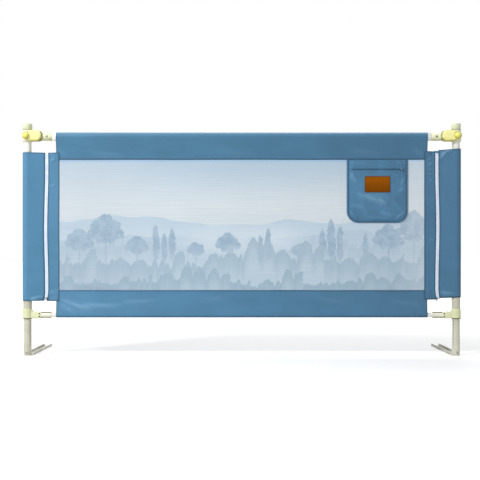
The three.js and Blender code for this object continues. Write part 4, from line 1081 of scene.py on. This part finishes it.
def sewn(name, runs, look="sewing_thread"):
    """Rows of stitches. Each run is a list of (place, normal) along which stitches are set a pitch apart.
    A stitch is a short rounded bar, pinched at its ends."""
    bpy.ops.mesh.primitive_cube_add(size=1)
    pattern = named("stitch")
    pattern.scale = (0.0025, 0.0006, 0.00045)
    at_end = lambda face: abs(face.normal.x) > 0.9
    worked(applied(pattern), bpy.ops.transform.resize, "FACE", at_end, value=(1, 0.45, 0.45))
    modify(pattern, "BEVEL", width=0.00014, segments=1, limit_method="NONE")
    corners = [corner.co.copy() for corner in pattern.data.vertices]
    faces = [list(face.vertices) for face in pattern.data.polygons]
    bpy.data.objects.remove(pattern)
    points, polygons = [], []
    for run in runs:
        travelled, due = 0.0, STITCH_PITCH / 2
        for (start, out_a), (end, out_b) in zip(run, run[1:]):
            length = (end - start).length
            while due <= travelled + length:
                share = (due - travelled) / length
                forward = (end - start).normalized()
                out = out_a.lerp(out_b, share).normalized()
                turn = Matrix((forward, out.cross(forward).normalized(), out)).transposed()
                middle = start.lerp(end, share)
                polygons += [[len(points) + index for index in face] for face in faces]
                points += [middle + turn @ corner for corner in corners]
                due += STITCH_PITCH
            travelled += length
    mesh = bpy.data.meshes.new(name)
    mesh.from_pydata([tuple(point) for point in points], [], polygons)
    piece = bpy.data.objects.new(name, mesh)
    scene.collection.objects.link(piece)
    mesh.uv_layers.new(name="UVMap")
    return dressed(cleaned(piece, 60), look)


# ------------------------------------------------------------------ bands round the rails
# Each band: radius round its rail, drop to its hem, height of the rail, and 1 if it hangs, -1 if it stands
TOP_BAND = (0.0177, 0.094, TOP_RAIL_Z, 1)
BOTTOM_BAND = (0.0108, 0.101, LOWER_RAIL_Z, -1)


def sleeve_path(radius, drop):
    """A cloth sleeve's way up its front, over the core and down its back: the place, across and down, at
    any share of it, and its whole length."""
    foot = Vector((-LAYER, -drop))
    start = math.atan2(foot.y, foot.x) % (2 * math.pi) - math.acos(radius / foot.length)
    over = 2 * (start - math.pi / 2) * radius
    touch = Vector((math.cos(start), math.sin(start))) * radius
    straight = (foot - touch).length
    total = straight * 2 + over

    def at(share):
        run = share * total
        if run < straight:
            return foot.lerp(touch, run / straight)
        if run < straight + over:
            angle = start - (run - straight) / radius
            return Vector((math.cos(angle), math.sin(angle))) * radius
        place = touch.lerp(foot, (run - straight - over) / straight)
        return Vector((-place.x, place.y))

    return at, total


def outline(width, height):
    """Distance from a sheet's nearest edge."""
    return lambda u, v: min(min(u, 1 - u) * width, min(v, 1 - v) * height)


def hem_wave(x, up):
    return 0.0011 * lumps(x, 0, 5.0, 0, 1.3 * up)


def band(name, body, measures, look):
    """A cloth band: a sleeve over a rail whose two layers meet in the seam with the mesh."""
    radius, drop, rail_z, up = measures
    path, total = sleeve_path(radius, drop)
    size = (2 * BAND_END_X, total)

    def shape(u, v):
        across, down = path(v)
        x, z = (u - 0.5) * size[0], rail_z + up * down
        hem = max(0.0, -down / drop)
        hang = slack(x, z) * (1 if across < 0 else 0.5) * (0.35 + 0.65 * hem)
        end = max(0.0, (abs(x) - BAND_END_X + 0.030) / 0.030)
        return Vector((x * (1 - 0.0006 * end), PLANE_Y + across - hang, z + hem_wave(x, up) * hem))

    def painted_light(u, v):
        across, down = path(v)
        # Painted highlight on the lit top of the top band's sleeve, painted shade under the bottom band's
        # sleeve
        painted_curve_light = (-0.75 if up > 0 else 1.0) * hump(down - radius, radius * 0.52)
        # Painted highlight on the upper side of the front's creases
        crest_highlight = folds((u - 0.5) * size[0], rail_z + up * down) / 0.026 if across < 0 else 0.0
        # Painted shade along both hems
        return 0.65 * hump(min(v, 1 - v) * total, 0.0020) + painted_curve_light - crest_highlight

    piece = laid(f"cover_{name}", look, (380, 56), size, shape, outline(*size), painted_light)
    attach(piece, body)
    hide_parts(name)
    return piece, size


def band_stitches(name, body, measures):
    radius, drop, rail_z, up = measures
    path, _ = sleeve_path(radius, drop)
    runs = []
    for share, out, hold in ((HEM_SHARE, FRONT, 1), (1 - HEM_SHARE, BACK, 0.5)):
        across, down = path(share)
        z = rail_z + up * down
        run = []
        for i in range(251):
            x = (BAND_END_X - 0.002) * (i / 125 - 1)
            y = PLANE_Y + across + out.y * 0.00042 - slack(x, z) * hold
            run.append((Vector((x, y, z + hem_wave(x, up) * 0.98)), out))
        runs.append(run)
    piece = sewn(f"{name}_stitching", runs)
    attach(piece, body)
    return piece


# The top band is dressed in the darker cloth, painted shade
top_band, top_band_size = band("top_band", "lift", TOP_BAND, "top_cloth_painted_shade")
bottom_band, bottom_band_size = band("bottom_band", "frame", BOTTOM_BAND, "blue_cloth")


# ------------------------------------------------------------------ mesh window
MESH_SIZE = (2 * (MESH_X + 0.008), TOP_BAND_Z - BOTTOM_BAND_Z + 0.012)


def mesh_shape(u, v):
    x, z = (u - 0.5) * MESH_SIZE[0], BOTTOM_BAND_Z - 0.006 + v * MESH_SIZE[1]
    return Vector((x, PLANE_Y - slack(x, z), z))


mesh_edge = outline(*MESH_SIZE)
mesh_window = laid(
    "cover_mesh", "printed_mesh", (250, 90), MESH_SIZE, mesh_shape, mesh_edge, thickness=0.0005
)
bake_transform(mesh_window)
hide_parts("mesh_panel")


# ------------------------------------------------------------------ side borders, zips and panels
BORDER_INNER = MESH_X
BORDER_OUTER = 0.7925
BORDER_WIDTH = BORDER_OUTER - BORDER_INNER
COVER_HEIGHT = COVER_HIGH_Z - COVER_LOW_Z
TAPE_HALF = 0.0085
TAPE_LENGTH = 0.604
PANEL_INNER = 0.8058
PANEL_RADIUS = 0.0196
PANEL_HEIGHT = PANEL_HIGH_Z - PANEL_LOW_Z


def shift(side, x):
    """The real cover's right end sits a little higher than its left, and slopes up to the post."""
    beyond_zip = abs(x) > ZIP_X + 0.004
    if side == "left":
        return -0.008 if beyond_zip else 0.0
    outer = min(1.0, max(0.0, (abs(x) - PANEL_INNER) / 0.090))
    return 0.0055 + (0.0045 * outer - 0.003 if beyond_zip else 0.0)


def border_sheet(side, sign):
    """A doubled strip beside the mesh, folded at the zip; it laps over the ends of both bands."""
    around = BORDER_WIDTH * 2 + 0.003

    def shape(u, v):
        run = u * around
        inward, y = min(run, around - run), -LAYER if run < BORDER_WIDTH else LAYER
        if inward > BORDER_WIDTH:
            turn = (run - BORDER_WIDTH) / (around - 2 * BORDER_WIDTH) * math.pi
            inward, y = BORDER_WIDTH + math.sin(turn) * LAYER, -math.cos(turn) * LAYER
        x, z = sign * (BORDER_INNER + inward), COVER_LOW_Z + v * COVER_HEIGHT
        top = max(0.0, z - TOP_BAND_Z) * 0.188 + 0.0016 * smooth(z - TOP_BAND_Z, -0.006, 0.001)
        low = max(0.0, BOTTOM_BAND_Z - z) * 0.104 + 0.0016 * smooth(BOTTOM_BAND_Z - z, -0.006, 0.001)
        lap = (top + low) * (1 - smooth(inward, 0.0135, 0.036))
        return on_cover(x, PLANE_Y + y + math.copysign(lap, y), z, up=shift(side, x))

    def edge(u, v):
        run = u * around
        return min(run, around - run, abs(run - BORDER_WIDTH) + 0.001, min(v, 1 - v) * COVER_HEIGHT)

    def painted_light(u, v):
        run, rise = u * around, v * COVER_HEIGHT
        # Painted shade along the fold at the zip and along the inner edge
        turned = 0.80 * hump(run - BORDER_WIDTH, 0.0022) + 0.60 * hump(run, 0.0022)
        # Painted shade along the lower edge. The left border is a little darker all over as well
        low = 0.80 * hump(rise, 0.0035) + (0.12 if side == "left" else 0.0)
        # Painted highlight on the upper side of the creases, on the front layer
        crest_highlight = folds(sign * (BORDER_INNER + run), COVER_LOW_Z + rise) / 0.014 if run < BORDER_WIDTH else 0.0
        return turned + low - crest_highlight

    size = (around, COVER_HEIGHT)
    return laid(f"{side}_cover_border", "blue_cloth", (64, 190), size, shape, edge, painted_light), size


def zip_tape_sheet(side, sign):
    """The zip's two tapes, held between the border and the panel, and split below the slider."""

    def half(way):
        def shape(u, v):
            z = COVER_LOW_Z + 0.002 + v * (COVER_HEIGHT - 0.004)
            split = max(0.0002, 0.0040 * (1 - (z - COVER_LOW_Z) / 0.011))
            away = way * (split + (u if way > 0 else 1 - u) * (TAPE_HALF - split))
            return on_cover(sign * (ZIP_X + away), PLANE_Y, z, up=shift(side, ZIP_X))

        return laid("half_tape", "zip_tape", (4, 152), (TAPE_HALF, TAPE_LENGTH), shape, thickness=0.0007)

    return one_of(f"{side}_zip_tape", [half(-1), half(1)])


def coil(side, sign):
    """The zip's coil: interlocked loops, one above the other, down the middle of the tape."""
    bpy.ops.mesh.primitive_cylinder_add(vertices=8, radius=0.0006, depth=0.0042, rotation=(0, math.pi / 2, 0))
    piece = applied(named(f"{side}_zip_coil"))
    at_end = lambda corner: abs(corner.co.x) > 0.002
    worked(piece, bpy.ops.transform.resize, "VERT", at_end, value=(1, 0.6, 0.6))
    modify(piece, "BEVEL", width=0.0002, segments=1, limit_method="ANGLE")
    pitch, low, high = 0.0017, COVER_LOW_Z + 0.012, COVER_HIGH_Z - 0.006
    spaced = {"use_relative_offset": False, "use_constant_offset": True}
    modify(piece, "ARRAY", count=int((high - low) / pitch), constant_offset_displace=(0, 0, pitch), **spaced)
    piece.location = (sign * ZIP_X, PLANE_Y - 0.0011, low)
    applied(piece)
    for corner in piece.data.vertices:
        corner.co = on_cover(*corner.co, up=shift(side, ZIP_X))
    return dressed(cleaned(piece, 50), "zip_coil")


def panel_sheet(side, sign):
    """A cloth panel wrapped round the post, both layers sewn together beside the zip."""
    drop = POST_X - PANEL_INNER
    path, total = sleeve_path(PANEL_RADIUS, drop)
    size = (total, PANEL_HEIGHT)

    def shape(u, v):
        across, down = path(u)
        x, z = sign * (POST_X + down), PANEL_LOW_Z + v * PANEL_HEIGHT
        hold = (1 if across < 0 else 0.4) * smooth(-down / drop, 0.0, 0.45)
        return on_cover(x, PLANE_Y + across, z, hold, shift(side, max(abs(x), ZIP_X + 0.005)))

    def painted_light(u, v):
        across, down = path(u)
        rise, inner = v * PANEL_HEIGHT, min(u, 1 - u) * total
        # Painted shade along the lower hem, stronger on the right
        low = (1.5 if side == "right" else 0.85) * hump(rise, 0.0035)
        # Painted highlight on the upper side of the front's creases
        crest_highlight = folds(sign * (POST_X + down), PANEL_LOW_Z + rise) / 0.016 if across < 0 else 0.0
        # Painted shade along the sewn edges beside the zip
        return low + 0.70 * hump(inner, 0.0026) + 0.22 * hump(inner, 0.009) - crest_highlight

    return laid(f"{side}_cover_panel", "blue_cloth", (96, 170), size, shape, outline(*size), painted_light), size


def zip_end_tab():
    """A folded scrap of cloth sewn over the top of the right zip."""
    width, low, high = 0.024, COVER_HIGH_Z - 0.005, COVER_HIGH_Z + 0.0012

    def shape(u, v):
        bulge = math.cos((u - 0.5) * math.pi)
        z = low + v * (high - low) - 0.0016 * bulge * (1 - v)
        y = PLANE_Y - 0.0022 - 0.0012 * bulge
        return on_cover(ZIP_X + (u - 0.5) * width, y, z, up=shift("right", ZIP_X))

    return laid("right_zip_end_tab", "blue_cloth", (24, 8), (width, high - low), shape)


def upright_seams(side, sign):
    """Seams up the cover's front and back, which follow its slack, sway and shift."""
    runs = []
    for out in (FRONT, BACK):
        for x, low, high, deeper in (
            (BORDER_INNER + 0.0036, BOTTOM_BAND_Z, TOP_BAND_Z, 0),
            (BORDER_OUTER - 0.0030, COVER_LOW_Z + 0.003, COVER_HIGH_Z - 0.003, 0),
            (PANEL_INNER + 0.0042, PANEL_LOW_Z + 0.003, PANEL_HIGH_Z - 0.003, 0.0009),
        ):
            count = round((high - low) / STEP)
            y = PLANE_Y + out.y * (LAYER + 0.0004 + deeper)
            places = [(sign * x, y, low + (high - low) * i / count) for i in range(count + 1)]
            runs.append([(on_cover(*place, up=shift(side, x)), out) for place in places])
    return sewn(f"{side}_side_stitching", runs)


end_tab = zip_end_tab()
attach(end_tab, "lift")
sides = []
for side, sign in SIDES:
    border, border_size = border_sheet(side, sign)
    tape = zip_tape_sheet(side, sign)
    teeth = coil(side, sign)
    panel, panel_size = panel_sheet(side, sign)
    seams = upright_seams(side, sign)
    for piece in (border, tape, teeth, panel, seams):
        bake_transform(piece)
    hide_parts(f"{side}_side_border")
    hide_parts(f"{side}_zip_strip")
    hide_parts(f"{side}_side_panel")
    sides.append((side, border, border_size, tape, teeth, panel, panel_size, seams))


# ------------------------------------------------------------------ pocket and patch
POCKET_X = 0.555
POCKET_HALF = 0.124
POCKET_TOP = 0.8005
POCKET_DROP = 0.257
POCKET_ROUND = 0.046
POCKET_BACK = PLANE_Y - 0.0012
POCKET_SIZE = (POCKET_HALF * 2, POCKET_DROP)
POCKET_ZIP_Z = 0.7607
PATCH_Z = 0.6997
PATCH_HALF = (0.052, 0.033)
PATCH_ROUND = 0.005
BINDING_SIZE = (0.72, 0.016)
POCKET_FOLDS = metres(
    (450, 752, 474, 700, 4, 8), (470, 664, 590, 622, 6.2, 8), (560, 648, 600, 616, 4.4, 6),
    (500, 664, 560, 646, 3.6, 6), (446, 622, 500, 600, 3.4, 10), (482, 628, 520, 574, 3, 11),
    (612, 640, 660, 590, 4, 10), (560, 590, 622, 568, 3.2, 8), (440, 794, 500, 784, 2.8, 4),
    (470, 782, 600, 776, 2.4, 3.5), (560, 796, 632, 788, 2.6, 3.5), (640, 798, 662, 778, 3.6, 3.4),
    (620, 744, 652, 734, 3.6, 5), (664, 730, 652, 690, 3.6, 6), (668, 694, 640, 664, 3, 7),
    (500, 568, 606, 558, 3.6, 5.5), (448, 590, 462, 568, 3.6, 3.4), (458, 580, 478, 557, 3.6, 3.4),
    (662, 592, 650, 570, 3.6, 3.4), (652, 578, 632, 556, 3.6, 3.4),
)


def into_round(a, b):
    """Moves a place in a square corner, given by its shares from 0 to 1, into a round one."""
    return a * math.sqrt(1 - b * b / 2), b * math.sqrt(1 - a * a / 2)


def pocket_outline(u, v):
    """Sideways and down places of the pocket's corners, with its two lower corners round."""
    across, down = (u - 0.5) * 2 * POCKET_HALF, v * POCKET_DROP
    side, foot = POCKET_HALF - POCKET_ROUND, POCKET_DROP - POCKET_ROUND
    a, b = (abs(across) - side) / POCKET_ROUND, (down - foot) / POCKET_ROUND
    if a > 0 and b > 0:
        a, b = into_round(a, b)
        return math.copysign(side + a * POCKET_ROUND, across), foot + b * POCKET_ROUND
    return across, down


def pocket_rim(across, down):
    """Distance from the pocket's side and lower edge."""
    a, b = abs(across) - POCKET_HALF + POCKET_ROUND, down - POCKET_DROP + POCKET_ROUND
    if a > 0 and b > 0:
        return POCKET_ROUND - math.hypot(a, b)
    return min(POCKET_HALF - abs(across), POCKET_DROP - down)


def pocket_depth(across, down):
    """How far the pocket's front stands off the mesh."""
    x, z = POCKET_X + across, POCKET_TOP - down
    rim = pocket_rim(across, down)
    crown = math.sin(min(1.0, max(0.0, rim) / 0.030) * math.pi / 2)
    puff = 0.0016 + 0.0054 * crown * (0.35 + 0.65 * min(1.0, down / 0.020))
    rumple = 0.0017 * lumps(x, z, 19, 16, 3.3) + 0.0010 * lumps(x, z, 44, 38, 8.1)
    creases = folds(x, z, POCKET_FOLDS) * 0.85 - 0.0012
    patched = smooth(max(abs(across) - 0.050, abs(z - PATCH_Z) - 0.031), 0.0, 0.014)
    lip = 0.0016 * hump(z - POCKET_ZIP_Z - 0.004, 0.0030) if abs(across) < 0.110 else 0
    groove = 0.0020 * hump(z - POCKET_ZIP_Z, 0.0014) if abs(across) < 0.107 else 0
    return puff + (rumple + creases) * patched * min(1.0, rim / 0.016 + 0.2) + lip - groove


def on_pocket(across, down, stand):
    """A place that stands forward of the pocket's back."""
    x, z = POCKET_X + across, POCKET_TOP - down
    return Vector((x, POCKET_BACK - stand - slack(x, z), z))


def front_shape(u, v):
    across, down = pocket_outline(u, v)
    return on_pocket(across, down, pocket_depth(across, down))


def front_edge(u, v):
    across, down = pocket_outline(u, v)
    return min(pocket_rim(across, down), 0.0045 + abs(abs(POCKET_TOP - down - POCKET_ZIP_Z) - 0.004))


def front_painted_light(u, v):
    across, down = pocket_outline(u, v)
    z = POCKET_TOP - down
    # Painted shade in the zip's groove
    line = 0.85 * hump(z - POCKET_ZIP_Z, 0.0016) if abs(across) < 0.107 else 0.0
    # Painted shade just inside the binding
    rim = 0.5 * hump(pocket_rim(across, down) - 0.0072, 0.0014)
    # Random lighter and darker patches of painted sheen, a little darker on the whole
    patches = 0.30 * lumps(across, z, 17, 13, 5.5) + 0.10
    # Painted highlight on the upper side of the creases
    return line + rim + patches - folds(POCKET_X + across, z, POCKET_FOLDS) / 0.015


def back_shape(u, v):
    return on_pocket(*pocket_outline(u, v), 0.0004)


def rim_points(inset):
    """Places a little inside the pocket's edge, from its upper left corner down and round to the other."""
    half, radius, foot = POCKET_HALF - inset, POCKET_ROUND - inset, POCKET_DROP - inset
    left = [(-half, down * (foot - radius) / 30) for down in range(31)]
    for i in range(1, 30):
        angle = math.pi / 2 * i / 30
        left.append((-half + radius - radius * math.cos(angle), foot - radius + radius * math.sin(angle)))
    low = [((half - radius) * (i / 10 - 1), foot) for i in range(21)]
    return [*left, *low, *((-across, down) for across, down in left[::-1])]


def binding_shape(u, v):
    """Along the rim, and round its edge: from the front inwards and back to the pocket's back."""
    place = u * (len(outer_rim) - 1)
    i = min(int(place), len(outer_rim) - 2)
    outer, inner = (Vector(line[i]).lerp(Vector(line[i + 1]), place - i) for line in (outer_rim, inner_rim))
    share, stand = abs(v * 2 - 1), -0.0002
    if v < 0.5:
        stand = 0.0030 + 0.0009 * math.sin(share * math.pi) + 0.0012 * share
    return on_pocket(*outer.lerp(inner, share), stand)


front = laid("pocket_front", "pocket_cloth", (130, 136), POCKET_SIZE, front_shape, front_edge, front_painted_light)
back = laid("pocket_back", "pocket_cloth", (40, 42), POCKET_SIZE, back_shape)
outer_rim, inner_rim = rim_points(-0.0006), rim_points(0.0062)
binding = laid("pocket_binding", "binding_cloth", (240, 12), BINDING_SIZE, binding_shape, thickness=0.0005)
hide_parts("pocket")


def patch_place(across, up, stand):
    x, z = POCKET_X + across, PATCH_Z + up
    return Vector((x, PLANE_Y - stand - slack(x, z), z))


def leather_patch():
    """A sewn-on leather patch: flat, with turned-down edges and round corners."""
    bpy.ops.mesh.primitive_grid_add(x_subdivisions=52, y_subdivisions=33, size=1)
    piece = named("pocket_patch")
    distance = piece.data.attributes.new("edge", "FLOAT", "POINT")
    half_x, half_z = PATCH_HALF
    for corner in piece.data.vertices:
        across, up = corner.co.x * 2 * half_x, corner.co.y * 2 * half_z
        a, b = ((abs(s) - half + PATCH_ROUND) / PATCH_ROUND for s, half in zip((across, up), PATCH_HALF))
        if a > 0 and b > 0:
            a, b = into_round(a, b)
            across = math.copysign(half_x - PATCH_ROUND + a * PATCH_ROUND, across)
            up = math.copysign(half_z - PATCH_ROUND + b * PATCH_ROUND, up)
        rim = min(half_x - abs(across), half_z - abs(up))
        distance.data[corner.index].value = rim
        sunk = 0.00045 * hump(rim - 0.0034, 0.0009) + 0.0009 * math.exp(-rim / 0.0012)
        bow = 0.0008 * math.cos(across / half_x * 1.3) * math.cos(up / half_z * 1.3)
        corner.co = patch_place(across, up, 0.0104 + bow - sunk)
    modify(piece, "SOLIDIFY", thickness=0.0013, offset=0, use_even_offset=True)
    modify(piece, "SUBSURF", levels=1, render_levels=1)
    return dressed(cleaned(piece, 60), "patch_leather")


patch = leather_patch()
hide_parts("leather_patch")


# ------------------------------------------------------------------ stitching
top_band_thread = band_stitches("top_band", "lift", TOP_BAND)
bottom_band_thread = band_stitches("bottom_band", "frame", BOTTOM_BAND)

pocket_runs = [[(on_pocket(across, down, 0.0052), FRONT) for across, down in rim_points(0.0046)]]
for offset in (-0.0055, 0.0080):
    places = [(0.108 * (i / 20 - 1), POCKET_TOP - POCKET_ZIP_Z - offset) for i in range(41)]
    pocket_runs.append([(on_pocket(*place, pocket_depth(*place) + 0.0004), FRONT) for place in places])
pocket_thread = sewn("pocket_stitching", pocket_runs)

seam_x, seam_z = (half - 0.0034 for half in PATCH_HALF)
turns = ((-1, -1), (1, -1), (1, 1), (-1, 1), (-1, -1))
patch_run = [(patch_place(a * seam_x, b * seam_z, 0.0112), FRONT) for a, b in turns]
patch_thread = sewn("patch_stitching", [patch_run], "patch_thread")
for piece in (front, back, binding, patch, pocket_thread, patch_thread):
    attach(piece, "lift")

# ------------------------------------------------------------------ what lies over each zip's tape
for side, border, border_size, tape, teeth, panel, panel_size, seams in sides:
    over_tape = [teeth, end_tab] if side == "right" else [teeth]


# ------------------------------------------------------------------ camera, light and floor
DISTANCE = 3.70
PICTURE_WIDTH = 1.968
camera_data = bpy.data.cameras.new("camera")
camera_data.sensor_width = 36
camera_data.lens = 36 * DISTANCE / PICTURE_WIDTH
camera_data.shift_y = 10 / 480
camera = bpy.data.objects.new("camera", camera_data)
camera.location = (-0.0074, PLANE_Y - DISTANCE, 0.431)
camera.rotation_euler = (math.pi / 2, 0, 0)
scene.collection.objects.link(camera)
scene.camera = camera

for name, place, target, size, watts in (
    ("key_lamp", (-3.0, -3.0, 3.3), (-0.1, -0.15, 0.5), (1.2, 1.2), 182),
    ("fill_lamp", (2.4, -3.6, 1.6), (0.4, -0.1, 0.5), (1.8, 1.8), 20),
    ("back_lamp", (0.3, 1.6, 3.0), (0, 0, 0.6), (2.4, 1.6), 46),
):
    light = bpy.data.lights.new(name, "AREA")
    light.shape = "RECTANGLE"
    light.size, light.size_y = size
    light.energy = watts
    lamp = bpy.data.objects.new(name, light)
    lamp.location = place
    lamp.rotation_euler = (Vector(target) - Vector(place)).to_track_quat("-Z", "Y").to_euler()
    scene.collection.objects.link(lamp)

# The studio's walls are white where the camera, a gloss or a clear piece shows them, and dimmer as a light
scene.world = bpy.data.worlds.new("studio")
scene.world.use_nodes = True
studio = Nodes(scene.world.node_tree)
sky = studio.tree.nodes["Background"]
sky.inputs["Color"].default_value = (1, 1, 1, 1)
sky.inputs["Strength"].default_value = 0.30
shown = studio.result("ShaderNodeBackground", {"Color": (1, 1, 1, 1), "Strength": 1.0})
rays = studio.result("ShaderNodeLightPath").socket.node.outputs
seen, gloss, clear = (Value(studio, rays[f"Is {kind} Ray"]) for kind in ("Camera", "Glossy", "Transmission"))
walls = {0: seen.larger(gloss).larger(clear), 1: Value(studio, sky.outputs[0]), 2: shown}
studio.feed(studio.tree.nodes["World Output"].inputs["Surface"], studio.result("ShaderNodeMixShader", walls))

bpy.ops.mesh.primitive_plane_add(size=60, location=(0, 0, -0.0004))
floor = applied(named("floor"))
pale, white = (0.94, 0.94, 0.94, 1), (1, 1, 1, 1)
paper = Finish("floor", Roughness=0.9, Specular_IOR_Level=0.1, Base_Color=pale, Emission_Color=white)
reach = paper.result("ShaderNodeVectorMath", {0: paper.place()}, "Value", operation="LENGTH")
glow = paper.result("ShaderNodeLightPath", output="Is Camera Ray") * reach.step(0.9, 2.6, 0.26, 0.82)
paper.feed(paper.shader.inputs["Emission Strength"], glow)
dressed(floor, "floor")
